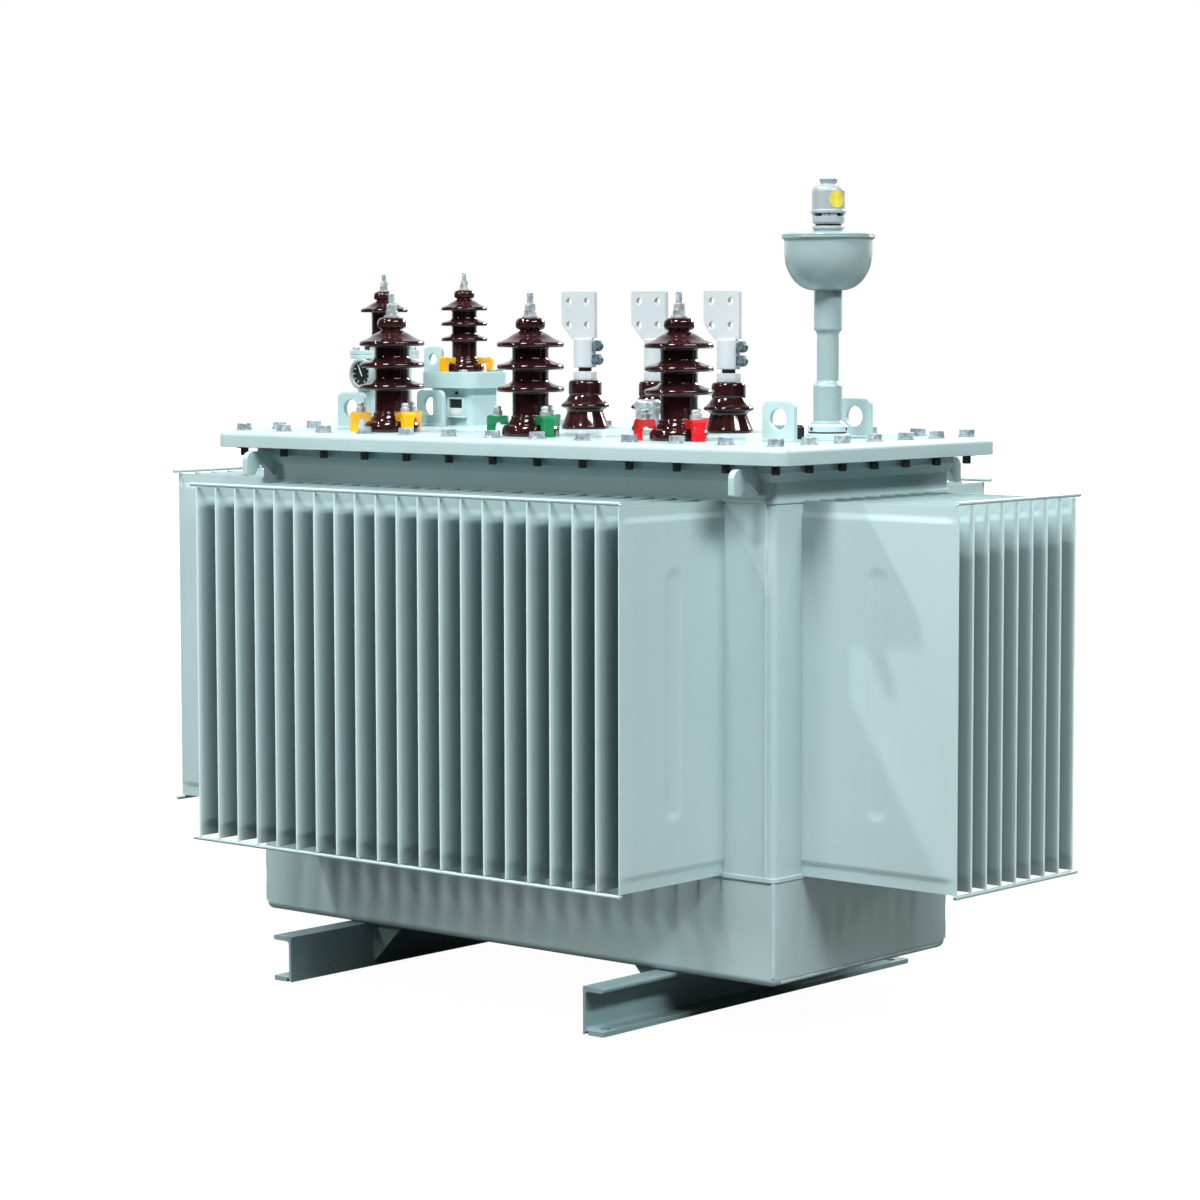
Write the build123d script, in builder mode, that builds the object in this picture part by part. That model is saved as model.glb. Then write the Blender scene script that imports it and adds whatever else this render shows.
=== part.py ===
from build123d import *
import os

# Oil-filled power transformer with a corrugated tank, in millimetres.
# Z is up, X runs along the long side, and the front faces -Y.

# Skids
skid_height = 80
skid_length = 850
skid_flange_width = 43
skid_flange_thickness = 8
skid_web_thickness = 5
skid_root_radius = 6
skid_inner_face = 340
skid_hole_diameter = 18
skid_hole_end_distance = 30
gusset_thickness = 6
gusset_reach = 70
gusset_edge_distance = 32

# Tank
tank_length = 1184
tank_depth = 487
tank_corner_radius = 10
pan_height = 176
pan_wall = 5
pan_floor_radius = 14
wall_thickness = 4
neck_height = 31
neck_wall = 5
flare_height = 16
flare_reach = 11
neck_band_height = 20

# Fins
fin_height = 615
fin_thickness = 10
fin_pinch = 3
fin_strip = 15
fin_slope = 14
fin_tip_chamfer = 0.3
long_fin_count = 21
long_fin_depth = 261
long_side_corner_strip = 82.75
end_fin_count = 9
end_fin_depth = 306
end_side_corner_strip = 56.3
dimple_length = 414
dimple_width = 32
dimple_depth = 1.5
dimple_drop = 100
tie_bar_diameter = 8
tie_bar_overhang = 18
tie_bar_gap = 0.2

# Cover and rim
cover_end_overhang = 61
cover_front_overhang = 58.5
cover_corner_radius = 24
cover_thickness = 12
cover_skirt_height = 30
cover_skirt_thickness = 6
cover_edge_radius = 6
rim_thickness = 12
rim_clearance = 1

# Lifting hooks on the neck
hook_end_distance = 32
hook_thickness = 12
hook_reach = 72
hook_height = 43
hook_foot_gap = 11
hook_foot_width = 6
hook_notch_height = 21
hook_notch_place = 34
hook_notch_radius = 5
hook_tip_width = 22
hook_nose_radius = 16

# Lifting lugs on the cover
lug_end_distance = 158
lug_front_distance = 197
lug_width = 67
lug_height = 67
lug_thickness = 10
lug_corner_radius = 12
lug_hole_diameter = 35
lug_hole_height = 37

# High-voltage bushings
hv_pitch = 332
hv_front_distance = 134
hv_foot_radius = 50
hv_foot_height = 20
hv_barrel_radius = 31.5
hv_shed_radius = 58
hv_shed_lip = 3
hv_shed_heights = (79, 115.5, 159)
hv_shed_under = 5
hv_shed_rise = 11
hv_neck_radius = 18
hv_neck_height = 182
hv_head_radius = 26
hv_head_height = 204
hv_head_rounding = 8
hv_stud_radius = 6
hv_stud_height = 46
hv_washer_radius = 15
hv_washer_height = 5
hv_nut_radius = 11
hv_nut_height = 20

# Clamps that hold the bushing feet
clamp_count = 3
clamp_turn = -34
turret_clamp_turn = 40
clamp_width = 24
clamp_height = 37
clamp_toe_radius = 38
clamp_reach = 76
clamp_leg = 16
clamp_arch_height = 24
clamp_chamfer = 7
clamp_foot_gap = 3

# Small bushings on the gauge pot and the turret
small_scale = 0.75
pot_bushing_cut = 60

# Low-voltage bushings
lv_pitch = 168
lv_back_distance = 132
lv_foot_radius = 40
lv_foot_height = 8
lv_cone_height = 38
lv_shed_radius = 44
lv_shed_lip = 3.5
lv_shed_height = 45
lv_waist_radius = 28
lv_waist_height = 60
lv_cap_radius = 30
lv_cap_height = 89
lv_cap_rounding = 4
lv_collar_radius = 22
lv_collar_height = 16
lv_stud_radius = 12
lv_stud_gap = 7
lv_clamp_radius = 21
lv_clamp_height = 54
lv_ear_reach = 36
lv_ear_width = 16
lv_ear_height = 20
lv_flag_width = 80
lv_flag_thickness = 8
lv_flag_height = 84
lv_flag_offset = 14
lv_flag_chamfer = 25
lv_flag_hole_diameter = 14
lv_flag_hole_spacing_x = 43
lv_flag_hole_spacing_z = 43
lv_flag_hole_drop = 18

# Oil filling pipe with its bowl and relief valve
filler_end_distance = 138
filler_pad_radius = 36
filler_pad_height = 13
filler_flange_radius = 33.5
filler_flange_height = 15
filler_flange_bevel = 5
pipe_length = 221
pipe_radius = 18.5
pipe_bore_radius = 15
pipe_lower_sleeve_radius = 24
pipe_lower_sleeve_length = 65
pipe_upper_sleeve_radius = 23.5
pipe_upper_sleeve_length = 65
pipe_sleeve_bevel = 5
bowl_radius = 73.5
bowl_wall = 3
bowl_height = 90
bowl_straight = 26
bowl_foot_radius = 24
bowl_rim_radius = 77.5
bowl_rim_height = 5
lid_thickness = 4
lid_dome = 5
valve_base_radius = 25
valve_base_height = 8
valve_port_radius = 27
valve_port_height = 20
valve_ring_radius = 29.5
valve_ring_height = 4
valve_body_radius = 27
valve_body_height = 36
valve_cap_radius = 15
valve_cap_height = 14
valve_cap_foot = 12

# Gauge pot and turret at the back left
pot_end_distance = 139
pot_body_radius = 50
pot_height = 143
pot_rim_radius = 64
pot_rim_height = 10
pot_boss_radius = 24
pot_boss_reach = 54
dial_radius = 30
dial_depth = 12
dial_face_radius = 22
dial_face_recess = 5
dial_height = 100
turret_end_distance = 167
turret_back_distance = 114
turret_length = 104
turret_depth = 84
turret_height = 70
turret_corner_radius = 14
turret_plate_length = 140
turret_plate_depth = 118
turret_plate_height = 31
turret_plate_radius = 30
turret_plate_rounding = 8
window_width = 36
window_height = 30
window_depth = 6
window_place_z = 36
window_offset = 20
turret_lug_width = 46
turret_lug_height = 47
turret_lug_thickness = 8
turret_lug_offset = 41
turret_lug_hole_diameter = 21

# Small cover fittings
pocket_place_x = 123
pocket_radius = 23
pocket_height = 61
pocket_lip = 4
cap_end_distance = 198
cap_radius = 9
cap_height = 24

# Levels and places that follow
pan_top = skid_height + pan_height
fin_top = pan_top + fin_height
flare_bottom = fin_top + neck_height
flare_top = flare_bottom + flare_height
rim_bottom = flare_top + neck_band_height
rim_top = rim_bottom + rim_thickness
cover_top = rim_top + cover_thickness
cover_bottom = cover_top - cover_skirt_height
tank_front = tank_depth / 2
tank_end = tank_length / 2
long_wall_half = tank_end - long_side_corner_strip
end_wall_half = tank_front - end_side_corner_strip
long_fin_pitch = 2 * long_wall_half / long_fin_count
end_fin_pitch = 2 * end_wall_half / end_fin_count
cover_length = tank_length + 2 * cover_end_overhang
cover_depth = tank_depth + 2 * cover_front_overhang
cover_end = cover_length / 2
cover_front = cover_depth / 2
hook_place = tank_end - hook_end_distance
lug_place_x = cover_end - lug_end_distance
lug_place_y = cover_front - lug_front_distance
hv_place_y = hv_front_distance - cover_front
lv_place_y = cover_front - lv_back_distance
filler_place_x = cover_end - filler_end_distance
pot_place_x = pot_end_distance - cover_end
turret_place_x = turret_end_distance - cover_end
turret_place_y = cover_front - turret_back_distance
cap_place_x = cover_end - cap_end_distance
filler_top = cover_top + filler_pad_height + filler_flange_height
bowl_bottom = filler_top + pipe_length
bowl_top = bowl_bottom + bowl_height
pot_top = cover_top + pot_height
dial_level = cover_top + dial_height
turret_plate_bottom = cover_top + turret_height
turret_top = turret_plate_bottom + turret_plate_height
hv_places = {"left": -hv_pitch, "middle": 0, "right": hv_pitch}
lv_places = {"left": -lv_pitch, "middle": 0, "right": lv_pitch}

os.makedirs("parts", exist_ok=True)


def hand_over(part, name):
    part.label = name
    export_step(part, f"parts/{name}.step")


def copies(part, *places):
    with BuildPart() as placed:
        with Locations(*places):
            add(part)
    return placed.part


# Skids: rolled channels with their flanges turned outward, and gussets under the tank


def skid(side):
    with BuildPart() as channel:
        with BuildSketch(Plane.XZ.offset(skid_length / 2)) as section:
            with Locations((skid_inner_face + skid_flange_width / 2, skid_height / 2)):
                Rectangle(skid_flange_width, skid_height)
            with Locations((skid_inner_face + skid_web_thickness, skid_height / 2)):
                Rectangle(
                    skid_flange_width,
                    skid_height - 2 * skid_flange_thickness,
                    align=(Align.MIN, Align.CENTER),
                    mode=Mode.SUBTRACT,
                )
            inner = section.vertices().filter_by_position(
                Axis.Y, skid_flange_thickness, skid_height - skid_flange_thickness
            )
            fillet(inner.group_by(Axis.X)[0], skid_root_radius)
        extrude(amount=-skid_length)
        hole_x = skid_inner_face + (skid_web_thickness + skid_flange_width) / 2
        hole_y = skid_length / 2 - skid_hole_end_distance
        with Locations((hole_x, -hole_y), (hole_x, hole_y)):
            Cylinder(skid_hole_diameter / 2, 3 * skid_flange_thickness, mode=Mode.SUBTRACT)
    return channel.part if side > 0 else channel.part.mirror(Plane.YZ)


hand_over(skid(-1), "skid_left")
hand_over(skid(1), "skid_right")

gusset_y = tank_front - gusset_edge_distance
with BuildPart() as skid_gussets:
    for place in (-gusset_y, gusset_y):
        with BuildSketch(Plane.XZ.offset(place - gusset_thickness / 2)):
            with BuildLine():
                Polyline(
                    (skid_inner_face, skid_flange_thickness),
                    (skid_inner_face, skid_height),
                    (skid_inner_face - gusset_reach, skid_height),
                    close=True,
                )
            make_face()
        extrude(amount=gusset_thickness)
    mirror(about=Plane.YZ)
hand_over(skid_gussets.part, "skid_gussets")

# Tank: pan, corner posts, fin banks and neck

with BuildPart() as tank_pan:
    with BuildSketch(Plane.XY.offset(skid_height)):
        RectangleRounded(tank_length, tank_depth, tank_corner_radius)
    extrude(amount=pan_height)
    fillet(tank_pan.faces().sort_by(Axis.Z)[0].edges(), pan_floor_radius)
    offset(amount=-pan_wall, openings=tank_pan.faces().sort_by(Axis.Z)[-1])
hand_over(tank_pan.part, "tank_pan")

with BuildPart() as corner_posts:
    with BuildSketch(Plane.XY.offset(pan_top)):
        RectangleRounded(tank_length, tank_depth, tank_corner_radius)
        RectangleRounded(
            tank_length - 2 * wall_thickness,
            tank_depth - 2 * wall_thickness,
            tank_corner_radius - wall_thickness,
            mode=Mode.SUBTRACT,
        )
        Rectangle(2 * long_wall_half, 2 * tank_depth, mode=Mode.SUBTRACT)
        Rectangle(2 * tank_length, 2 * end_wall_half, mode=Mode.SUBTRACT)
    extrude(amount=fin_height)
hand_over(corner_posts.part, "corner_posts")


def fin(depth):
    shoulder = fin_strip + fin_slope
    stations = (
        (0, fin_pinch),
        (fin_strip, fin_pinch),
        (shoulder, fin_thickness),
        (fin_height - shoulder, fin_thickness),
        (fin_height - fin_strip, fin_pinch),
        (fin_height, fin_pinch),
    )
    with BuildPart() as folded:
        for height, thickness in stations:
            with BuildSketch(Plane.XY.offset(height)) as section:
                with Locations((0, depth / 2)):
                    Rectangle(thickness, depth)
                chamfer(section.vertices().group_by(Axis.Y)[-1], fin_tip_chamfer * thickness)
        loft(ruled=True)
    return folded.part


def outward_plane(out_x, out_y, distance):
    return Plane(
        origin=(out_x * distance, out_y * distance, pan_top),
        x_dir=(out_y, -out_x, 0),
        z_dir=(0, 0, 1),
    )


def fin_bank(plane, count, pitch, depth):
    half_run = pitch * (count - 1) / 2
    dimple_z = fin_height - dimple_drop - dimple_length / 2
    with BuildPart(plane) as bank:
        with Locations((0, -wall_thickness / 2, fin_height / 2)):
            Box(2 * half_run + pitch, wall_thickness, fin_height)
        with GridLocations(pitch, 0, count, 1):
            add(fin(depth))
        for side in (-1, 1):
            centre = (side * (half_run + fin_thickness / 2), depth / 2, dimple_z)
            face = Plane(plane.from_local_coords(centre), x_dir=(0, 0, 1), z_dir=plane.x_dir)
            with BuildSketch(face):
                SlotOverall(dimple_length, dimple_width)
            extrude(amount=dimple_depth, both=True, mode=Mode.SUBTRACT)
    return bank.part


def tie_bars(plane, count, pitch, depth, long_end):
    length = pitch * (count - 1) + fin_thickness + tie_bar_overhang
    middle = long_end * tie_bar_overhang / 2
    tip = depth - tie_bar_diameter / 2
    step = tie_bar_diameter / 2 + tie_bar_gap
    with BuildPart(plane) as bars:
        with Locations((middle, tip, -step), (middle, tip, fin_height + step)):
            Cylinder(tie_bar_diameter / 2, length, rotation=(0, 90, 0))
    return bars.part


long_fins = (long_fin_count, long_fin_pitch, long_fin_depth)
end_fins = (end_fin_count, end_fin_pitch, end_fin_depth)
bank_sides = {
    "front": (outward_plane(0, -1, tank_front), long_fins, 1),
    "back": (outward_plane(0, 1, tank_front), long_fins, 1),
    "left": (outward_plane(-1, 0, tank_end), end_fins, -1),
    "right": (outward_plane(1, 0, tank_end), end_fins, -1),
}
for side, (plane, fins, long_end) in bank_sides.items():
    hand_over(fin_bank(plane, *fins), f"{side}_fin_bank")
    hand_over(tie_bars(plane, *fins, long_end), f"{side}_tie_bars")


def rounded_outline(height, grow, radius):
    with BuildSketch(Plane.XY.offset(height)) as outline:
        RectangleRounded(tank_length + 2 * grow, tank_depth + 2 * grow, radius)
    return outline.sketch


rim_reach = cover_skirt_thickness + rim_clearance
with BuildPart() as neck_frame:
    extrude(rounded_outline(fin_top, 0, tank_corner_radius), amount=neck_height)
    loft(
        [
            rounded_outline(flare_bottom, 0, tank_corner_radius),
            rounded_outline(flare_top, flare_reach, tank_corner_radius + flare_reach),
        ]
    )
    extrude(
        rounded_outline(flare_top, flare_reach, tank_corner_radius + flare_reach),
        amount=neck_band_height,
    )
    with BuildSketch(Plane.XY.offset(rim_bottom)):
        RectangleRounded(
            cover_length - 2 * rim_reach, cover_depth - 2 * rim_reach, cover_corner_radius - rim_reach
        )
    extrude(amount=rim_thickness)
    opening = rounded_outline(fin_top, -neck_wall, tank_corner_radius - neck_wall)
    extrude(opening, amount=rim_top - fin_top, mode=Mode.SUBTRACT)
hand_over(neck_frame.part, "neck_frame")

hook_foot = fin_top + hook_foot_gap
with BuildPart() as hook:
    with BuildSketch(Plane.YZ.offset(-hook_thickness / 2)) as outline:
        with BuildLine():
            Polyline(
                (0, 0),
                (0, flare_bottom - hook_foot),
                (flare_reach, flare_top - hook_foot),
                (flare_reach, hook_height),
                (hook_reach, hook_height),
                (hook_reach, 0),
                (hook_reach - hook_tip_width, 0),
                (hook_notch_place, hook_notch_height),
                (hook_foot_width, 0),
                close=True,
            )
        make_face()
        fillet(outline.vertices().sort_by_distance((hook_reach, hook_height))[0], hook_nose_radius)
        fillet(
            outline.vertices().sort_by_distance((hook_notch_place, hook_notch_height))[0],
            hook_notch_radius,
        )
    extrude(amount=hook_thickness)
back_hook = hook.part.moved(Location((0, tank_front, hook_foot)))
front_hook = back_hook.mirror(Plane.XZ)
with BuildPart() as lifting_hooks:
    with Locations((-hook_place, 0), (hook_place, 0)):
        add(back_hook)
        add(front_hook)
hand_over(lifting_hooks.part, "lifting_hooks")

# Cover with its turned-down skirt, and the lugs that lift it

with BuildPart() as cover_plate:
    with BuildSketch(Plane.XY.offset(cover_bottom)):
        RectangleRounded(cover_length, cover_depth, cover_corner_radius)
    extrude(amount=cover_skirt_height)
    fillet(cover_plate.faces().sort_by(Axis.Z)[-1].edges(), cover_edge_radius)
    with BuildSketch(Plane.XY.offset(cover_bottom)):
        RectangleRounded(
            cover_length - 2 * cover_skirt_thickness,
            cover_depth - 2 * cover_skirt_thickness,
            cover_corner_radius - cover_skirt_thickness,
        )
    extrude(amount=cover_skirt_height - cover_thickness, mode=Mode.SUBTRACT)
hand_over(cover_plate.part, "cover_plate")


def lifting_lug(width, height, thickness, rounding, hole_diameter, hole_height):
    with BuildPart() as lug:
        with BuildSketch(Plane.XZ.offset(-thickness / 2)) as outline:
            with Locations((0, height / 2)):
                Rectangle(width, height)
            fillet(outline.vertices().group_by(Axis.Y)[-1], rounding)
            with Locations((0, hole_height)):
                Circle(hole_diameter / 2, mode=Mode.SUBTRACT)
        extrude(amount=thickness)
    return lug.part


cover_lug = lifting_lug(
    lug_width, lug_height, lug_thickness, lug_corner_radius, lug_hole_diameter, lug_hole_height
)
lug_places = [(x, y, cover_top) for x in (-lug_place_x, lug_place_x) for y in (-lug_place_y, lug_place_y)]
hand_over(copies(cover_lug, *lug_places), "cover_lugs")

# Porcelain bushings with their studs and clamps


def bushing_porcelain(factor, shed_heights=hv_shed_heights, cut=0):
    tip = hv_shed_radius - hv_shed_lip
    neck_level = hv_neck_height - cut
    head_level = hv_head_height - cut
    shed_levels = [height - cut for height in shed_heights]
    shed_tops = [(hv_barrel_radius, level + hv_shed_rise) for level in shed_levels[:-1]]
    shed_tops.append((hv_neck_radius, neck_level))
    with BuildPart() as porcelain:
        with BuildSketch(Plane.XZ):
            with BuildLine():
                line = Polyline(
                    (0, 0),
                    (hv_foot_radius, 0),
                    (hv_foot_radius, hv_foot_height),
                    (hv_barrel_radius, hv_foot_height),
                )
                for level, shed_top in zip(shed_levels, shed_tops):
                    barrel = Line(line @ 1, (hv_barrel_radius, level - hv_shed_under))
                    under = Line(barrel @ 1, (tip, level - hv_shed_lip))
                    lip = ThreePointArc(under @ 1, (hv_shed_radius, level), (tip, level + hv_shed_lip))
                    line = Line(lip @ 1, shed_top)
                head = Polyline(
                    line @ 1,
                    (hv_head_radius, neck_level),
                    (hv_head_radius, head_level - hv_head_rounding),
                )
                crown = RadiusArc(
                    head @ 1, (hv_head_radius - hv_head_rounding, head_level), -hv_head_rounding
                )
                Polyline(crown @ 1, (0, head_level), (0, 0))
            make_face()
        revolve(axis=Axis.Z)
    return scale(porcelain.part, factor)


def bushing_terminal(factor):
    standing = (Align.CENTER, Align.CENTER, Align.MIN)
    with BuildPart() as terminal:
        Cylinder(hv_stud_radius, hv_stud_height, align=standing)
        Cylinder(hv_washer_radius, hv_washer_height, align=standing)
        with BuildSketch(Plane.XY.offset(hv_washer_height)):
            RegularPolygon(hv_nut_radius, 6)
        extrude(amount=hv_nut_height)
    return scale(terminal.part, factor)


def bushing_clamps(factor, turn):
    arch_inner = hv_foot_radius + clamp_foot_gap
    arch_outer = clamp_reach - clamp_leg
    with BuildPart() as claw:
        with BuildSketch(Plane.XZ.offset(-clamp_width / 2)):
            with BuildLine():
                Polyline(
                    (hv_foot_radius, hv_foot_height),
                    (clamp_toe_radius, hv_foot_height),
                    (clamp_toe_radius, clamp_height - clamp_chamfer),
                    (clamp_toe_radius + clamp_chamfer, clamp_height),
                    (clamp_reach - clamp_chamfer, clamp_height),
                    (clamp_reach, clamp_height - clamp_chamfer),
                    (clamp_reach, 0),
                    (arch_outer, 0),
                    (arch_outer, hv_foot_height),
                    (arch_outer - clamp_foot_gap, clamp_arch_height),
                    (arch_inner, clamp_arch_height),
                    close=True,
                )
            make_face()
        extrude(amount=clamp_width)
    with BuildPart() as ring:
        with PolarLocations(0, clamp_count, start_angle=turn):
            add(claw.part)
    return scale(ring.part, factor)


for side, place in hv_places.items():
    foot = (place, hv_place_y, cover_top)
    hand_over(copies(bushing_porcelain(1), foot), f"hv_bushing_{side}")
    hand_over(copies(bushing_clamps(1, clamp_turn), foot), f"hv_clamps_{side}")
    hand_over(
        copies(bushing_terminal(1), (place, hv_place_y, cover_top + hv_head_height)),
        f"hv_terminal_{side}",
    )

with BuildPart() as lv_porcelain:
    with BuildSketch(Plane.XZ):
        with BuildLine():
            tip = lv_shed_radius - lv_shed_lip
            foot = Polyline(
                (0, 0),
                (lv_foot_radius, 0),
                (lv_foot_radius, lv_foot_height),
                (lv_waist_radius, lv_cone_height),
                (tip, lv_shed_height - lv_shed_lip),
            )
            lip_top = (tip, lv_shed_height + lv_shed_lip)
            lip = ThreePointArc(foot @ 1, (lv_shed_radius, lv_shed_height), lip_top)
            Polyline(
                lip @ 1,
                (lv_waist_radius, lv_waist_height),
                (lv_cap_radius, lv_waist_height),
                (lv_cap_radius, lv_cap_height),
                (0, lv_cap_height),
                (0, 0),
            )
        make_face()
    revolve(axis=Axis.Z)
    fillet(lv_porcelain.faces().sort_by(Axis.Z)[-1].edges(), lv_cap_rounding)

lv_stud_height = lv_collar_height + lv_stud_gap
with BuildPart() as lv_stud:
    with BuildSketch():
        RegularPolygon(lv_collar_radius, 6)
    extrude(amount=lv_collar_height)
    Cylinder(lv_stud_radius, lv_stud_height, align=(Align.CENTER, Align.CENTER, Align.MIN))

with BuildPart() as lv_flag:
    Cylinder(lv_clamp_radius, lv_clamp_height, align=(Align.CENTER, Align.CENTER, Align.MIN))
    with Locations((0, 0, lv_clamp_height / 4), (0, 0, 3 * lv_clamp_height / 4)):
        Box(lv_ear_reach, lv_ear_width, lv_ear_height, align=(Align.MIN, Align.CENTER, Align.CENTER))
    with BuildSketch(Plane.XZ.offset(-lv_flag_thickness / 2)) as outline:
        with Locations((-lv_flag_offset, lv_clamp_height + lv_flag_height / 2)):
            Rectangle(lv_flag_width, lv_flag_height)
        chamfer(outline.vertices().group_by(Axis.Y)[0].sort_by(Axis.X)[0], lv_flag_chamfer)
        holes_level = lv_clamp_height + lv_flag_height - lv_flag_hole_drop - lv_flag_hole_spacing_z / 2
        with Locations((-lv_flag_offset, holes_level)):
            with GridLocations(lv_flag_hole_spacing_x, lv_flag_hole_spacing_z, 2, 2):
                Circle(lv_flag_hole_diameter / 2, mode=Mode.SUBTRACT)
    extrude(amount=lv_flag_thickness)

for side, place in lv_places.items():
    stud_foot = cover_top + lv_cap_height
    hand_over(copies(lv_porcelain.part, (place, lv_place_y, cover_top)), f"lv_bushing_{side}")
    hand_over(copies(lv_stud.part, (place, lv_place_y, stud_foot)), f"lv_stud_{side}")
    hand_over(copies(lv_flag.part, (place, lv_place_y, stud_foot + lv_stud_height)), f"lv_flag_{side}")

# Oil filling pipe, bowl, lid and relief valve

with BuildPart() as filler_flange:
    with Locations((filler_place_x, 0, cover_top)):
        Cylinder(filler_pad_radius, filler_pad_height, align=(Align.CENTER, Align.CENTER, Align.MIN))
    with Locations((filler_place_x, 0, filler_top)):
        Cylinder(filler_flange_radius, filler_flange_height, align=(Align.CENTER, Align.CENTER, Align.MAX))
    chamfer(filler_flange.faces().sort_by(Axis.Z)[-1].edges(), filler_flange_bevel)
hand_over(filler_flange.part, "filler_flange")

filler_axis = Axis((filler_place_x, 0, 0), (0, 0, 1))


def filler_section(level):
    return Plane(origin=(filler_place_x, 0, level), x_dir=(1, 0, 0), z_dir=(0, -1, 0))


upper_sleeve_bottom = pipe_length - pipe_upper_sleeve_length
with BuildPart() as filler_pipe:
    with BuildSketch(filler_section(filler_top)):
        with BuildLine():
            Polyline(
                (pipe_bore_radius, 0),
                (pipe_lower_sleeve_radius, 0),
                (pipe_lower_sleeve_radius, pipe_lower_sleeve_length),
                (pipe_radius, pipe_lower_sleeve_length + pipe_sleeve_bevel),
                (pipe_radius, upper_sleeve_bottom - pipe_sleeve_bevel),
                (pipe_upper_sleeve_radius, upper_sleeve_bottom),
                (pipe_upper_sleeve_radius, pipe_length),
                (pipe_bore_radius, pipe_length),
                close=True,
            )
        make_face()
    revolve(axis=filler_axis)
hand_over(filler_pipe.part, "filler_pipe")

bowl_shoulder = bowl_height - bowl_straight
inner_radius = bowl_radius - bowl_wall
with BuildPart() as filler_bowl:
    with BuildSketch(filler_section(bowl_bottom)):
        with BuildLine():
            foot = Line((0, 0), (bowl_foot_radius, 0))
            belly = EllipticalCenterArc(
                (bowl_foot_radius, bowl_shoulder),
                bowl_radius - bowl_foot_radius,
                bowl_shoulder,
                start_angle=270,
                arc_size=90,
            )
            rim = Polyline(
                belly @ 1,
                (bowl_radius, bowl_height - bowl_rim_height),
                (bowl_rim_radius, bowl_height),
                (inner_radius, bowl_height),
                (inner_radius, bowl_shoulder),
            )
            lining = EllipticalCenterArc(
                (bowl_foot_radius, bowl_shoulder),
                inner_radius - bowl_foot_radius,
                bowl_shoulder - bowl_wall,
                start_angle=270,
                arc_size=90,
            )
            Polyline(lining @ 0, (0, bowl_wall), (0, 0))
        make_face()
    revolve(axis=filler_axis)
hand_over(filler_bowl.part, "filler_bowl")

with BuildPart() as bowl_lid:
    with BuildSketch(filler_section(bowl_top)):
        with BuildLine():
            edge = Polyline((0, 0), (bowl_rim_radius, 0), (bowl_rim_radius, lid_thickness))
            dome = Line(edge @ 1, (valve_base_radius, lid_thickness + lid_dome))
            Polyline(dome @ 1, (0, lid_thickness + lid_dome), (0, 0))
        make_face()
    revolve(axis=filler_axis)
hand_over(bowl_lid.part, "bowl_lid")

valve_port_top = valve_base_height + valve_port_height
valve_ring_top = valve_port_top + valve_ring_height
valve_body_top = valve_ring_top + valve_body_height
with BuildPart() as relief_valve:
    with BuildSketch(filler_section(bowl_top + lid_thickness + lid_dome)):
        with BuildLine():
            Polyline(
                (0, 0),
                (valve_base_radius, 0),
                (valve_base_radius, valve_base_height),
                (valve_port_radius, valve_base_height),
                (valve_port_radius, valve_port_top),
                (valve_ring_radius, valve_port_top),
                (valve_ring_radius, valve_ring_top),
                (valve_body_radius, valve_ring_top),
                (valve_body_radius, valve_body_top),
                (valve_cap_foot, valve_body_top),
                (valve_cap_radius, valve_body_top + valve_cap_height),
                (0, valve_body_top + valve_cap_height),
                close=True,
            )
        make_face()
    revolve(axis=filler_axis)
hand_over(relief_valve.part, "relief_valve")

# Gauge pot with its dial

with BuildPart() as gauge_pot:
    with Locations((pot_place_x, 0, cover_top)):
        Cylinder(pot_body_radius, pot_height, align=(Align.CENTER, Align.CENTER, Align.MIN))
    with Locations((pot_place_x, 0, pot_top)):
        Cylinder(pot_rim_radius, pot_rim_height, align=(Align.CENTER, Align.CENTER, Align.MAX))
    with BuildSketch(Plane.XZ):
        with Locations((pot_place_x, dial_level)):
            Circle(pot_boss_radius)
    extrude(amount=pot_boss_reach)
hand_over(gauge_pot.part, "gauge_pot")

with BuildPart() as gauge_dial:
    with BuildSketch(Plane.XZ.offset(pot_boss_reach)):
        with Locations((pot_place_x, dial_level)):
            Circle(dial_radius)
    extrude(amount=dial_depth)
    with BuildSketch(Plane.XZ.offset(pot_boss_reach + dial_depth)):
        with Locations((pot_place_x, dial_level)):
            Circle(dial_face_radius)
    extrude(amount=-dial_face_recess, mode=Mode.SUBTRACT)
hand_over(gauge_dial.part, "gauge_dial")

# Turret with its top plate, window and lug

turret_front = turret_place_y - turret_depth / 2
with BuildPart() as turret:
    with BuildSketch(Plane.XY.offset(cover_top)):
        with Locations((turret_place_x, turret_place_y)):
            RectangleRounded(turret_length, turret_depth, turret_corner_radius)
    extrude(amount=turret_height)
    with BuildSketch(Plane.XZ.offset(-turret_front)):
        with Locations((turret_place_x + window_offset, cover_top + window_place_z)):
            Rectangle(window_width, window_height)
    extrude(amount=-window_depth, mode=Mode.SUBTRACT)
hand_over(turret.part, "turret")

plate_middle = (turret_place_x, turret_place_y)
with BuildPart() as turret_plate:
    with BuildSketch(Plane.XY.offset(turret_plate_bottom)):
        with Locations(plate_middle):
            RectangleRounded(turret_plate_length, turret_plate_depth, turret_plate_radius)
    extrude(amount=turret_plate_height)
    fillet(turret_plate.faces().sort_by(Axis.Z)[-1].edges(), turret_plate_rounding)
    plate_lug = lifting_lug(
        turret_lug_width,
        turret_lug_height,
        turret_lug_thickness,
        lug_corner_radius,
        turret_lug_hole_diameter,
        turret_lug_height / 2,
    )
    with Locations((turret_place_x - turret_lug_offset, turret_place_y - turret_lug_offset, turret_top)):
        add(plate_lug)
hand_over(turret_plate.part, "turret_plate")

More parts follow.
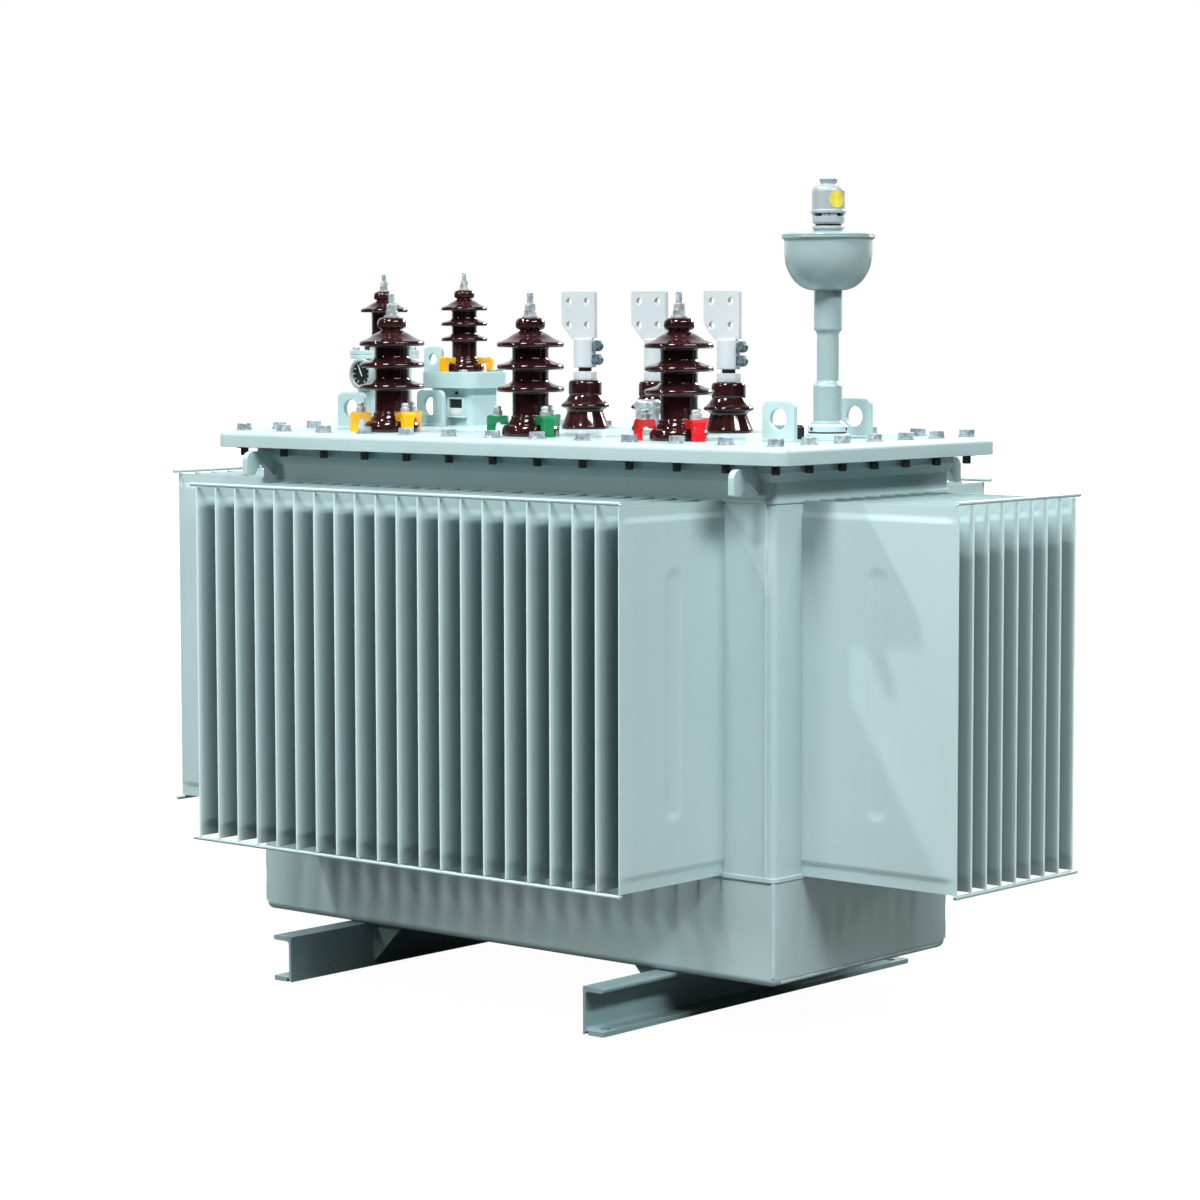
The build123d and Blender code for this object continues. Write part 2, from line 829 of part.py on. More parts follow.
pot_foot = (pot_place_x, 0, pot_top)
pot_head = (pot_place_x, 0, pot_top + small_scale * (hv_head_height - pot_bushing_cut))
turret_foot = (*plate_middle, turret_top)
turret_head = (*plate_middle, turret_top + small_scale * hv_head_height)
pot_bushing = copies(bushing_porcelain(small_scale, hv_shed_heights[-1:], pot_bushing_cut), pot_foot)
turret_bushing = copies(bushing_porcelain(small_scale), turret_foot)
with BuildPart() as small_bushings:
    add(pot_bushing)
    add(turret_bushing)
hand_over(small_bushings.part, "small_bushings")
hand_over(copies(bushing_terminal(small_scale), pot_head, turret_head), "small_terminals")
hand_over(copies(bushing_clamps(small_scale, turret_clamp_turn), turret_foot), "turret_clamps")

# Thermometer pocket and plug on the cover

with BuildPart() as thermometer_pocket:
    with Locations((pocket_place_x, 0, cover_top)):
        Cylinder(pocket_radius, pocket_height, align=(Align.CENTER, Align.CENTER, Align.MIN))
    chamfer(thermometer_pocket.faces().sort_by(Axis.Z)[-1].edges(), pocket_lip)
hand_over(thermometer_pocket.part, "thermometer_pocket")

with BuildPart() as cover_plug:
    with Locations((cap_place_x, 0, cover_top)):
        Cylinder(cap_radius, cap_height, align=(Align.CENTER, Align.CENTER, Align.MIN))
hand_over(cover_plug.part, "cover_plug")
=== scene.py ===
"""Oil-filled power transformer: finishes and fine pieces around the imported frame, in metres."""
import math

import bmesh
import bpy
from mathutils import Matrix, Vector


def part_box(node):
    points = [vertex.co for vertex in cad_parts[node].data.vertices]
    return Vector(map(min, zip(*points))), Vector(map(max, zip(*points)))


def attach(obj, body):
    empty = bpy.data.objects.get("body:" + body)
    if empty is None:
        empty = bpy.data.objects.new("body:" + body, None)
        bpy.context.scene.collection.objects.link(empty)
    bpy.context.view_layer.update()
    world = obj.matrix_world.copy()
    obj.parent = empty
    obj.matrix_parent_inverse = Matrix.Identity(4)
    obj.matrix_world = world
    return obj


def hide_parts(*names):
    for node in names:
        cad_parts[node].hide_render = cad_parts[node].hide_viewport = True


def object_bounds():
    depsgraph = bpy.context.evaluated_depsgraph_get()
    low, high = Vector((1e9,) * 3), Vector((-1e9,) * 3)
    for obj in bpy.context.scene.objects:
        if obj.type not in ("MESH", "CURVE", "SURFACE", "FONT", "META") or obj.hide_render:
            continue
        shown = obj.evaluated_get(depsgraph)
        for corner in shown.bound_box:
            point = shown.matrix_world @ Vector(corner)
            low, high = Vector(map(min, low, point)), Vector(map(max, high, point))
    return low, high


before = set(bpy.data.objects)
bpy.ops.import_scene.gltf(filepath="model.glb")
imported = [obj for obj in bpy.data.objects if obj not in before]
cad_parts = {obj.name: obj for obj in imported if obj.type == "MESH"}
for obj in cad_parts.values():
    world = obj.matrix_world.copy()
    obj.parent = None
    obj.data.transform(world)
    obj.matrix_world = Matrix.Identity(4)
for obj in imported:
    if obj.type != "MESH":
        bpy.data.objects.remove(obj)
cad_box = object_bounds()

# Camera, matched to the photograph's corners
view_turn = math.radians(40.671)
view_drop = math.radians(4.810)
view_roll = math.radians(0.101)
eye_place = Vector((4.0154, -4.6565, 1.1837))
lens_length = 104.385
sensor_width = 36.0

# Fin banks
long_fin_count = 21
end_fin_count = 9
fin_thickness = 0.010
fin_pinch = 0.003
fin_strip = 0.015
fin_slope = 0.014
fin_nose = 0.002
fin_tip_slope = 0.036
dimple_width = 0.050
dimple_length = 0.414
dimple_drop = 0.100
dimple_depth = 0.0022
dimple_edge = 0.016

# Fasteners
cover_bolt_across = 0.024
cover_bolt_head = 0.010
cover_bolt_tail = 0.016
cover_bolt_end_distance = 0.041
cover_bolt_side_distance = 0.036
cover_bolts_long_side = 13
cover_bolts_short_side = 6
weld_radius = 0.004

# Tank wall and the bars along the fin tips
wall_corner = 0.010
tie_bar_share = 0.85
tie_bar_inset = 0.005


class Signal:
    """A shader socket, on which arithmetic adds Math nodes."""

    def __init__(self, finish, socket):
        self.finish = finish
        self.socket = socket

    def maths(self, operation, first, second):
        return self.finish.node("ShaderNodeMath", {"operation": operation}, {0: first, 1: second})

    def __add__(self, other):
        return self.maths("ADD", self, other)

    def __rsub__(self, other):
        return self.maths("SUBTRACT", other, self)

    def __mul__(self, other):
        return self.maths("MULTIPLY", self, other)

    __radd__ = __add__
    __rmul__ = __mul__


class Finish:
    """The nodes of one material, or of the world."""

    def __init__(self, owner):
        owner.use_nodes = True
        self.owner = owner
        self.tree = owner.node_tree
        self.tree.nodes.clear()
        self.place = self.node("ShaderNodeTexCoord", {}, {}, "Object")

    def node(self, kind, settings, sockets, output=0):
        made = self.tree.nodes.new(kind)
        for key, value in settings.items():
            setattr(made, key, value)
        for key, value in sockets.items():
            if isinstance(value, Signal):
                self.tree.links.new(value.socket, made.inputs[key])
            else:
                made.inputs[key].default_value = value
        return Signal(self, made.outputs[output]) if made.outputs else None

    def noise(self, scale, detail=2.0, roughness=0.5):
        sockets = {"Vector": self.place, "Scale": scale, "Detail": detail, "Roughness": roughness}
        return self.node("ShaderNodeTexNoise", {}, sockets)

    def step(self, value, low, high):
        settings = {"interpolation_type": "SMOOTHSTEP"}
        sockets = {"Value": value, "From Min": low, "From Max": high}
        return self.node("ShaderNodeMapRange", settings, sockets)

    def blend(self, factor, first, second):
        sockets = {0: factor, 6: first, 7: second}
        return self.node("ShaderNodeMix", {"data_type": "RGBA"}, sockets, 2)

    def height(self):
        return self.node("ShaderNodeSeparateXYZ", {}, {0: self.place}, "Z")

    def bump(self, value, distance, strength=1.0):
        sockets = {"Height": value, "Distance": distance, "Strength": strength}
        return self.node("ShaderNodeBump", {}, sockets)

    def surface(self, **sockets):
        named = {key.replace("_", " "): value for key, value in sockets.items()}
        shader = self.node("ShaderNodeBsdfPrincipled", {}, named)
        self.node("ShaderNodeOutputMaterial", {}, {"Surface": shader})
        return self.owner


def colour(red, green, blue):
    """A display colour, 0 to 255, as the linear colour that a shader takes."""
    channels = [value / 255 for value in (red, green, blue)]
    linear = [c / 12.92 if c <= 0.04045 else ((c + 0.055) / 1.055) ** 2.4 for c in channels]
    return (*linear, 1.0)


# Finishes


def tank_paint(name, light, dark, rust=0.0, dull=0.30, coat=0.25, tips=None):
    """Sprayed enamel with orange peel and slow tone changes, rust in the low corners where asked, and on fins
    painted shade, darker deep between them, with a painted highlight along their tips."""
    finish = Finish(bpy.data.materials.new(name))
    cloud = finish.step(finish.noise(2.2, 3.0), 0.3, 0.7)
    speck = finish.step(finish.noise(85.0, 4.0, 0.6), 0.62, 0.78)
    base = finish.blend(cloud, dark, light)
    base = finish.blend(speck * 0.12, base, colour(120, 140, 140))
    peel = finish.noise(420.0, 2.0) + finish.noise(28.0, 1.0) * 1.5
    rough = dull + 0.10 * cloud
    if rust:
        spots = finish.step(finish.noise(34.0, 5.0, 0.65), 0.60, 0.70)
        low = 1 - finish.step(finish.height(), 0.004, 0.050)
        patch = spots * low * rust
        base = finish.blend(patch, base, colour(116, 84, 52))
        rough = rough + 0.4 * patch
    # Painted light on fins: painted shade deep in the gaps between fins, left off near their tops, and a
    # painted highlight in a strip along each tip
    if tips:
        axis, reach, top = tips
        place = finish.node("ShaderNodeSeparateXYZ", {}, {0: finish.place}, axis)
        depth = reach - finish.node("ShaderNodeMath", {"operation": "ABSOLUTE"}, {0: place})
        shade_below_top = finish.step(top - finish.height(), 0.004, 0.050)
        # painted shade: enamel darkened from 4 mm behind the tip inward, kept off the top 50 mm
        base = finish.blend(finish.step(depth, 0.004, 0.060) * shade_below_top, base, colour(112, 137, 139))
        # painted highlight: enamel lightened in the 12 mm next to the tip
        base = finish.blend(1 - finish.step(depth, 0.001, 0.012), base, colour(214, 236, 237))
    return finish.surface(
        Base_Color=base,
        Roughness=rough,
        Coat_Weight=coat,
        Coat_Roughness=0.12,
        Normal=finish.bump(peel, 0.0004, 0.35),
    )


def glazed_porcelain(name):
    """Dark brown glaze that thins to a warmer brown in places."""
    finish = Finish(bpy.data.materials.new(name))
    drift = finish.step(finish.noise(22.0, 3.0), 0.35, 0.75)
    base = finish.blend(drift, colour(36, 15, 17), colour(52, 22, 23))
    return finish.surface(
        Base_Color=base,
        Roughness=0.07 + 0.05 * drift,
        Specular_IOR_Level=0.40,
        Coat_Weight=0.25,
        Coat_Roughness=0.03,
        Normal=finish.bump(finish.noise(60.0, 2.0), 0.0006, 0.2),
    )


def cast_paint(name, tint, deep):
    """Gloss paint over a sand-cast surface."""
    finish = Finish(bpy.data.materials.new(name))
    cloud = finish.step(finish.noise(30.0, 3.0), 0.3, 0.7)
    return finish.surface(
        Base_Color=finish.blend(cloud, deep, tint),
        Roughness=0.26 + 0.1 * cloud,
        Coat_Weight=0.5,
        Normal=finish.bump(finish.noise(260.0, 3.0), 0.0006, 0.4),
    )


def plated_steel(name, tint, deep):
    """Zinc plating, dull in patches and finely brushed."""
    finish = Finish(bpy.data.materials.new(name))
    patch = finish.step(finish.noise(110.0, 4.0, 0.6), 0.35, 0.7)
    return finish.surface(
        Base_Color=finish.blend(patch, deep, tint),
        Metallic=0.55,
        Roughness=0.30 + 0.16 * patch,
        Normal=finish.bump(finish.noise(900.0, 2.0), 0.0002, 0.4),
    )


def plain_plastic(name, tint, rough):
    """Moulded plastic or glass with a faint grain."""
    finish = Finish(bpy.data.materials.new(name))
    grain = finish.noise(700.0, 2.0)
    shade = finish.step(finish.noise(40.0, 2.0), 0.3, 0.7)
    return finish.surface(
        Base_Color=finish.blend(shade * 0.25, tint, (0.02, 0.02, 0.02, 1.0)),
        Roughness=rough + 0.08 * shade,
        Normal=finish.bump(grain, 0.0002, 0.3),
    )


enamel = (colour(181, 206, 207), colour(174, 200, 201))
paint = tank_paint("tank_enamel", *enamel)
# Cover enamel: the tank enamel painted a shade darker as painted shade, holding its top back under the strong
# top light; its duller, thinner coat is its own
cover_enamel_painted_shade = (colour(176, 201, 202), colour(170, 195, 196))
cover_shaded_paint = tank_paint("cover_enamel_painted_shade", *cover_enamel_painted_shade, dull=0.40, coat=0.22)
fin_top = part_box("front_fin_bank")[1].z
# Fin enamels with painted shade deep between the fins and a painted highlight along their tips
long_fin_painted_light = tank_paint("long_fin_enamel_painted_light", *enamel, tips=("Y", cad_box[1][1], fin_top))
end_fin_painted_light = tank_paint("end_fin_enamel_painted_light", *enamel, tips=("X", cad_box[1][0], fin_top))
# Skid enamel: the tank enamel painted darker as painted shade under the tank, with real rust in its low
# corners
skid_shaded_paint = tank_paint("skid_enamel_painted_shade", colour(130, 157, 159), colour(120, 148, 151), rust=0.9)
# Filler enamel: the tank enamel painted darker as painted shade; its glossier finish is its own
filler_shaded_paint = tank_paint("filler_enamel_painted_shade", colour(154, 177, 178), colour(147, 171, 172), dull=0.16)
valve_paint = tank_paint("valve_enamel", colour(160, 172, 175), colour(150, 163, 167))
tinned = tank_paint("tinned_terminal", colour(196, 202, 205), colour(186, 194, 198))
glaze = glazed_porcelain("brown_glaze")
yellow = cast_paint("clamp_yellow_enamel", colour(255, 190, 0), colour(240, 165, 0))
green = cast_paint("clamp_green_enamel", colour(0, 132, 80), colour(0, 112, 66))
red = cast_paint("clamp_red_enamel", colour(226, 16, 30), colour(192, 8, 18))
zinc = plated_steel("zinc_plate", colour(214, 220, 222), colour(172, 182, 188))
bolt_steel = plated_steel("bolt_zinc", colour(204, 213, 217), colour(150, 165, 174))
ear_steel = plated_steel("ear_steel", colour(132, 150, 156), colour(74, 92, 98))
# Bolt steel painted dark as painted shade, for the washers and bolt ends under the cover's rim
shaded_bolt_steel = plated_steel("shaded_bolt_steel", colour(80, 88, 90), colour(46, 52, 54))
black = plain_plastic("black_moulding", colour(18, 20, 22), 0.4)
dial_face = plain_plastic("dial_face", colour(26, 34, 36), 0.25)
white_mark = plain_plastic("dial_marks", colour(225, 230, 230), 0.5)
yellow_disc = plain_plastic("plain_yellow_disc", colour(238, 226, 80), 0.45)

# Mesh helpers


def keep_piece(name, shape, finish, nodes=(), crease=35):
    """Turns a bmesh into a piece that rides with the tank, in place of CAD nodes where it has any."""
    bmesh.ops.remove_doubles(shape, verts=shape.verts, dist=1e-6)
    bmesh.ops.recalc_face_normals(shape, faces=shape.faces)
    mesh = bpy.data.meshes.new(name)
    shape.to_mesh(mesh)
    shape.free()
    mesh.polygons.foreach_set("use_smooth", [True] * len(mesh.polygons))
    mesh.set_sharp_from_angle(angle=math.radians(crease))
    for each in finish if isinstance(finish, list) else [finish]:
        mesh.materials.append(each)
    piece = bpy.data.objects.new(name, mesh)
    bpy.context.scene.collection.objects.link(piece)
    even = piece.modifiers.new("even_shading", "WEIGHTED_NORMAL")
    even.keep_sharp = True
    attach(piece, "root")
    if nodes:
        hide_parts(*nodes)
    return piece


def stamp(target, shape, matrix, material=None):
    """Adds a copy of one bmesh to another."""
    copy = bpy.data.meshes.new("stamp")
    shape.to_mesh(copy)
    copy.transform(matrix)
    if material is not None:
        copy.polygons.foreach_set("material_index", [material] * len(copy.polygons))
    target.from_mesh(copy)
    bpy.data.meshes.remove(copy)


def add(target, shape, matrix=Matrix.Identity(4), material=None):
    """Moves one bmesh into another."""
    stamp(target, shape, matrix, material)
    shape.free()


def ease(shape, geom, rounding, segments, affect="EDGES", clamp=False):
    """Rounds chosen edges or corners of a bmesh."""
    bmesh.ops.bevel(
        shape,
        geom=geom,
        offset=rounding,
        offset_type="OFFSET",
        affect=affect,
        segments=segments,
        profile=0.5,
        material=-1,
        clamp_overlap=clamp,
    )


def soften(shape, rounding, segments=2, angle=40):
    """Rounds every edge of a bmesh that is sharper than an angle."""
    limit = math.radians(angle)
    sharp = [e for e in shape.edges if len(e.link_faces) == 2 and e.calc_face_angle() > limit]
    ease(shape, sharp, rounding, segments, clamp=True)


def wire(shape, corners, closed):
    """A chain of edges through (x, y, z, rounding) corners, with its corners rounded."""
    verts = [shape.verts.new(corner[:3]) for corner in corners]
    pairs = list(zip(verts, verts[1:]))
    if closed:
        pairs.append((verts[-1], verts[0]))
    edges = [shape.edges.new(pair) for pair in pairs]
    others = set(shape.edges) - set(edges)
    for rounding in sorted({corner[3] for corner in corners if corner[3]}):
        chosen = [vert for vert, corner in zip(verts, corners) if corner[3] == rounding]
        ease(shape, chosen, rounding, 5, "VERTICES")
    return [edge for edge in shape.edges if edge not in others]


def in_mm(corners, size=1.0):
    """Corners that are written in millimetres, in metres and at a scale."""
    return [tuple(value * 0.001 * size for value in corner) for corner in corners]


def turned(outline, segments=48):
    """A body of revolution about Z from (radius, height, rounding) corners."""
    shape = bmesh.new()
    edges = wire(shape, [(radius, 0, height, rounding) for radius, height, rounding in outline], False)
    bmesh.ops.spin(
        shape,
        geom=edges + list(shape.verts),
        cent=(0, 0, 0),
        axis=(0, 0, 1),
        angle=math.tau,
        steps=segments,
        use_merge=True,
    )
    bmesh.ops.remove_doubles(shape, verts=shape.verts, dist=1e-6)
    bmesh.ops.recalc_face_normals(shape, faces=shape.faces)
    return shape


def disc(radius, thickness, rounding, segments):
    """A flat round disc standing on Z = 0."""
    outline = [(0, 0, 0), (radius, 0, rounding), (radius, thickness, rounding), (0, thickness, 0)]
    return turned(outline, segments)


def plate(outline, holes, thickness, rounding, segments=2):
    """A flat plate from (x, y, rounding) corners and (x, y, radius) holes, standing on Z = 0."""
    shape = bmesh.new()
    edges = wire(shape, [(x, y, 0, corner) for x, y, corner in outline], True)
    for x, y, radius in holes:
        spot = Matrix.Translation((x, y, 0))
        made = bmesh.ops.create_circle(shape, segments=32, radius=radius, matrix=spot)
        edges += list({edge for vert in made["verts"] for edge in vert.link_edges})
    filled = bmesh.ops.triangle_fill(shape, use_beauty=True, edges=edges, normal=(0, 0, 1))
    faces = [item for item in filled["geom"] if isinstance(item, bmesh.types.BMFace)]
    raised = bmesh.ops.extrude_face_region(shape, geom=faces)["geom"]
    lifted = [item for item in raised if isinstance(item, bmesh.types.BMVert)]
    bmesh.ops.translate(shape, verts=lifted, vec=(0, 0, thickness))
    bmesh.ops.recalc_face_normals(shape, faces=shape.faces)
    if rounding:
        soften(shape, rounding, segments)
    return shape


def block(low, high, rounding, segments=3):
    """A box between two corners with rounded edges."""
    size = Vector(high) - Vector(low)
    middle = Matrix.Translation((Vector(high) + Vector(low)) / 2)
    shape = bmesh.new()
    bmesh.ops.create_cube(shape, size=1.0, matrix=middle @ Matrix.Diagonal((*size, 1.0)))
    if rounding:
        soften(shape, rounding, segments)
    return shape


def rod(start, end, radius, segments=20, rounding=0.0):
    """A round bar between two points."""
    start = Vector(start)
    along = Vector(end) - start
    turn = along.to_track_quat("Z", "Y").to_matrix().to_4x4()
    shape = bmesh.new()
    bmesh.ops.create_cone(
        shape,
        cap_ends=True,
        segments=segments,
        radius1=radius,
        radius2=radius,
        depth=along.length,
        matrix=Matrix.Translation(start + along / 2) @ turn,
    )
    if rounding:
        soften(shape, rounding)
    return shape


def hexagon(across, height, rounding):
    """A hexagonal head or nut standing on Z = 0, its top edges eased."""
    shape = bmesh.new()
    bmesh.ops.create_cone(
        shape,
        cap_ends=True,
        segments=6,
        radius1=across / math.sqrt(3),
        radius2=across / math.sqrt(3),
        depth=height,
        matrix=Matrix.Translation((0, 0, height / 2)),
    )
    soften(shape, rounding)
    return shape


def add_bead(target, start, end, radius):
    """Lays a weld bead with its ripples along a straight seam."""
    shape = rod(start, end, radius, segments=8)
    start = Vector(start)
    length = (Vector(end) - start).length
    along = (Vector(end) - start).normalized()
    sides = [e for e in shape.edges if abs((e.verts[0].co - e.verts[1].co).normalized().dot(along)) > 0.9]
    cuts = max(2, int(length / (1.1 * radius)))
    bmesh.ops.subdivide_edges(shape, edges=sides, cuts=cuts, use_grid_fill=True)
    for vert in shape.verts:
        travel = (vert.co - start).dot(along)
        spine = start + along * travel
        ripple = 1 + 0.13 * math.sin(travel / radius * 2.9) + 0.10 * math.sin(travel * 97.0)
        vert.co = spine + (vert.co - spine) * ripple
    add(target, shape)


def stand_up(shape, thickness):
    """Turns a flat plate upright, with its thickness centred on Y = 0."""
    bmesh.ops.transform(shape, matrix=Matrix.Translation((0, thickness / 2, 0)) @ upright, verts=shape.verts)
    return shape


def standing(x, y, z, turn=0.0):
    """A place, turned about its upright axis."""
    return Matrix.Translation((x, y, z)) @ Matrix.Rotation(turn, 4, "Z")


def foot_of(node):
    """The middle of a node's underside."""
    low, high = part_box(node)
    return Vector(((low.x + high.x) / 2, (low.y + high.y) / 2, low.z))


def height_in_mm(node):
    low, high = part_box(node)
    return 1000 * (high.z - low.z)


def turned_piece(name, node, outline, segments, finish, crease=35):
    """A turned piece in place of a node, on that node's own axis."""
    shape = turned(outline, segments)
    bmesh.ops.translate(shape, verts=shape.verts, vec=foot_of(node))
    return keep_piece(name, shape, finish, [node], crease)


# Levels and faces read from the frame
pan_low, pan_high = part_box("tank_pan")
cover_low, cover_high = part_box("cover_plate")
neck_low, neck_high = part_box("neck_frame")
tank_end = pan_high.x
tank_front = pan_high.y
upright = Matrix.Rotation(math.pi / 2, 4, "X")

# Fin banks


def smooth_step(value):
    value = min(max(value, 0.0), 1.0)
    return value * value * (3 - 2 * value)


def fin_half_thickness(from_tip, from_end, across, along):
    """Half of a fin's thickness at a place on its broad side, less the dimple pressed into it."""
    swell = smooth_step((from_end - fin_strip) / fin_slope)
    swell *= math.sin(math.pi / 2 * min(from_tip / fin_tip_slope, 1.0))
    round_over = min(from_tip / fin_nose, 1.0)
    nose = fin_pinch / 2 * math.sqrt(1 - 0.8 * (1 - round_over) ** 2)
    beyond = max(abs(along) - (dimple_length - dimple_width) / 2, 0.0)
    dimple = smooth_step((dimple_width / 2 - math.hypot(across, beyond)) / dimple_edge)
    return nose + (fin_thickness - fin_pinch) / 2 * swell - dimple_depth * dimple


def cut_across(shape, axis, places):
    """Cuts a bmesh by planes square to one axis."""
    normal = Vector((0, 0, 0))
    normal[axis] = 1.0
    for place in places:
        geom = [*shape.verts, *shape.edges, *shape.faces]
        bmesh.ops.bisect_plane(shape, geom=geom, plane_co=normal * place, plane_no=normal)


def steps(start, end, count):
    return [start + (end - start) * number / count for number in range(count + 1)]


def fin_shape(depth, height):
    """One folded fin: full thickness in the middle, pinched at its ends and tip, dimpled on both sides."""
    shape = block((-fin_thickness / 2, 0, 0), (fin_thickness / 2, depth, height), 0)
    near_tip = [0.0006, 0.0014, *steps(fin_nose, fin_tip_slope, 7)]
    cut_across(shape, 1, [depth - place for place in near_tip])
    half_dimple = dimple_width / 2
    cut_across(shape, 1, steps(depth / 2 - half_dimple, depth / 2 + half_dimple, 12))
    ends = steps(fin_strip, fin_strip + fin_slope, 5)
    cut_across(shape, 2, ends)
    cut_across(shape, 2, [height - place for place in ends])
    dimple_top = height - dimple_drop
    for top in (dimple_top, dimple_top - dimple_length + half_dimple):
        cut_across(shape, 2, steps(top - half_dimple, top, 6))
    dimple_middle = dimple_top - dimple_length / 2
    for vert in shape.verts:
        from_end = min(vert.co.z, height - vert.co.z)
        across, along = vert.co.y - depth / 2, vert.co.z - dimple_middle
        half = fin_half_thickness(depth - vert.co.y, from_end, across, along)
        vert.co.x = math.copysign(half, vert.co.x)
    return shape


def fin_bank(side, out, count):
    """A bank of fins on one side of the tank."""
    low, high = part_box(f"{side}_fin_bank")
    out = Vector((*out, 0))
    along = Vector((out.y, -out.x, 0))
    face = tank_front if out.y else tank_end
    reach = (high.y if out.y else high.x) if sum(out) > 0 else -(low.y if out.y else low.x)
    run = (high - low).dot(Vector((abs(along.x), abs(along.y), 0)))
    pitch = run / count
    turn = Matrix((along, out, (0, 0, 1))).transposed().to_4x4()
    root = Matrix.Translation(out * face + Vector((0, 0, low.z))) @ turn
    bank = bmesh.new()
    fin = fin_shape(reach - face, high.z - low.z)
    for number in range(count):
        place = (number - (count - 1) / 2) * pitch
        outer = (number == count - 1) - (number == 0)
        for broad in fin.faces:
            broad.material_index = 0 if broad.calc_center_median().x * outer > 0 else 1
        stamp(bank, fin, root @ Matrix.Translation((place, 0, 0)))
    fin.free()
    # Inner fin faces take the enamel with painted shade between fins and a painted highlight at the tips;
    # outermost faces take the plain enamel
    between = long_fin_painted_light if out.y else end_fin_painted_light
    return keep_piece(f"{side}_fins", bank, [paint, between], [f"{side}_fin_bank"], crease=28)


def tie_bars(side, count):
    """Round bars along the fin tips, with a tack weld at each fin."""
    low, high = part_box(f"{side}_tie_bars")
    bank_low, bank_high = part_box(f"{side}_fin_bank")
    lengthwise = 0 if high.x - low.x > high.y - low.y else 1
    crosswise = 1 - lengthwise
    radius = (high[crosswise] - low[crosswise]) / 2 * tie_bar_share
    pitch = (bank_high[lengthwise] - bank_low[lengthwise]) / count
    tack = bmesh.new()
    bmesh.ops.create_icosphere(tack, subdivisions=2, radius=radius * 0.85)
    flatten = Matrix.Diagonal((1.0, 1.0, 0.75, 1.0))
    bars = bmesh.new()
    for level, into in ((low.z + radius, 1), (high.z - radius, -1)):
        start = Vector((0, 0, level))
        start[crosswise] = (high[crosswise] + low[crosswise]) / 2
        end = start.copy()
        start[lengthwise] = low[lengthwise] + tie_bar_inset
        end[lengthwise] = high[lengthwise] - tie_bar_inset
        add(bars, rod(start, end, radius, 20, 0.0012))
        for number in range(count):
            spot = start.copy()
            spot[lengthwise] = bank_low[lengthwise] + (number + 0.5) * pitch
            spot.z += into * radius * 0.55
            stamp(bars, tack, Matrix.Translation(spot) @ flatten)
    tack.free()
    return keep_piece(f"{side}_bars", bars, paint, [f"{side}_tie_bars"])


for side, out, count in (
    ("front", (0, -1), long_fin_count),
    ("back", (0, 1), long_fin_count),
    ("left", (-1, 0), end_fin_count),
    ("right", (1, 0), end_fin_count),
):
    fin_bank(side, out, count)
    tie_bars(side, count)

# Tank pan, corner posts, neck and cover


def rounded_box(half_x, half_y, radius):
    """Corners of a plan rectangle centred on the origin."""
    return [(x * half_x, y * half_y, radius) for x, y in ((-1, -1), (1, -1), (1, 1), (-1, 1))]


def pan():
    """Welded pan below the fins, with its bottom folds and the beads along its seams."""
    shape = bmesh.new()
    fold = plate(rounded_box(tank_end, tank_front, wall_corner), [], pan_high.z - pan_low.z, 0)
    low_edges = [e for e in fold.edges if max(v.co.z for v in e.verts) < 1e-5 and e.calc_face_angle() > 0.6]
    ease(fold, low_edges, 0.014, 4)
    add(shape, fold, standing(0, 0, pan_low.z))
    run = tank_front - 0.02
    level = pan_low.z + 0.007
    for x in (weld_radius - tank_end, tank_end - weld_radius):
        for y in (weld_radius - tank_front, tank_front - weld_radius):
            add_bead(shape, (x, y, pan_low.z + 0.016), (x, y, pan_high.z), weld_radius)
        add_bead(shape, (x, -run, level), (x, run, level), weld_radius)
    return keep_piece("pan", shape, paint, ["tank_pan"])


def weld_ring(shape, level, radius):
    """A weld bead right round the tank at one level."""
    grow = radius * 0.8
    outline = rounded_box(tank_end + grow, tank_front + grow, wall_corner + grow)
    add(shape, plate(outline, [], radius * 2, radius * 0.95, 3), standing(0, 0, level - radius))


def posts():
    """Bent corner strips of the tank wall, and the beads along the wall's foot and its upright seams."""
    shape = bmesh.new()
    low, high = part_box("corner_posts")
    strips = plate(rounded_box(tank_end, tank_front, wall_corner), [], high.z - low.z, 0)
    add(shape, strips, standing(0, 0, low.z))
    weld_ring(shape, low.z, weld_radius * 0.9)
    for y in (-tank_front * 0.998, tank_front * 0.998):
        for x in (-tank_end + 0.017, tank_end - 0.017):
            add_bead(shape, (x, y, low.z), (x, y, high.z), weld_radius * 0.75)
    return keep_piece("wall_corners", shape, paint, ["corner_posts"])


def neck():
    """Neck frame that flares out under the cover, its rim, and the weld where it stands on the fins."""
    shape = bmesh.new()
    flare_reach = 0.011
    flare_low = neck_low.z + 0.031
    band_low = flare_low + 0.016
    rim_low = band_low + 0.020
    wide = (tank_end + flare_reach, tank_front + flare_reach)
    for half_x, half_y, radius, bottom, top in (
        (tank_end, tank_front, wall_corner, neck_low.z, flare_low),
        (tank_end, tank_front, wall_corner, flare_low, band_low),
        (*wide, wall_corner + flare_reach, band_low, rim_low),
        (neck_high.x, neck_high.y, 0.017, rim_low, neck_high.z),
    ):
        ring = plate(rounded_box(half_x, half_y, radius), [], top - bottom, 0)
        if bottom == flare_low:
            for vert in ring.verts:
                if vert.co.z > 0.001:
                    vert.co.x += math.copysign(flare_reach, vert.co.x)
                    vert.co.y += math.copysign(flare_reach, vert.co.y)
        add(shape, ring, standing(0, 0, bottom))
    weld_ring(shape, neck_low.z, weld_radius * 0.8)
    return keep_piece("neck", shape, paint, ["neck_frame"])


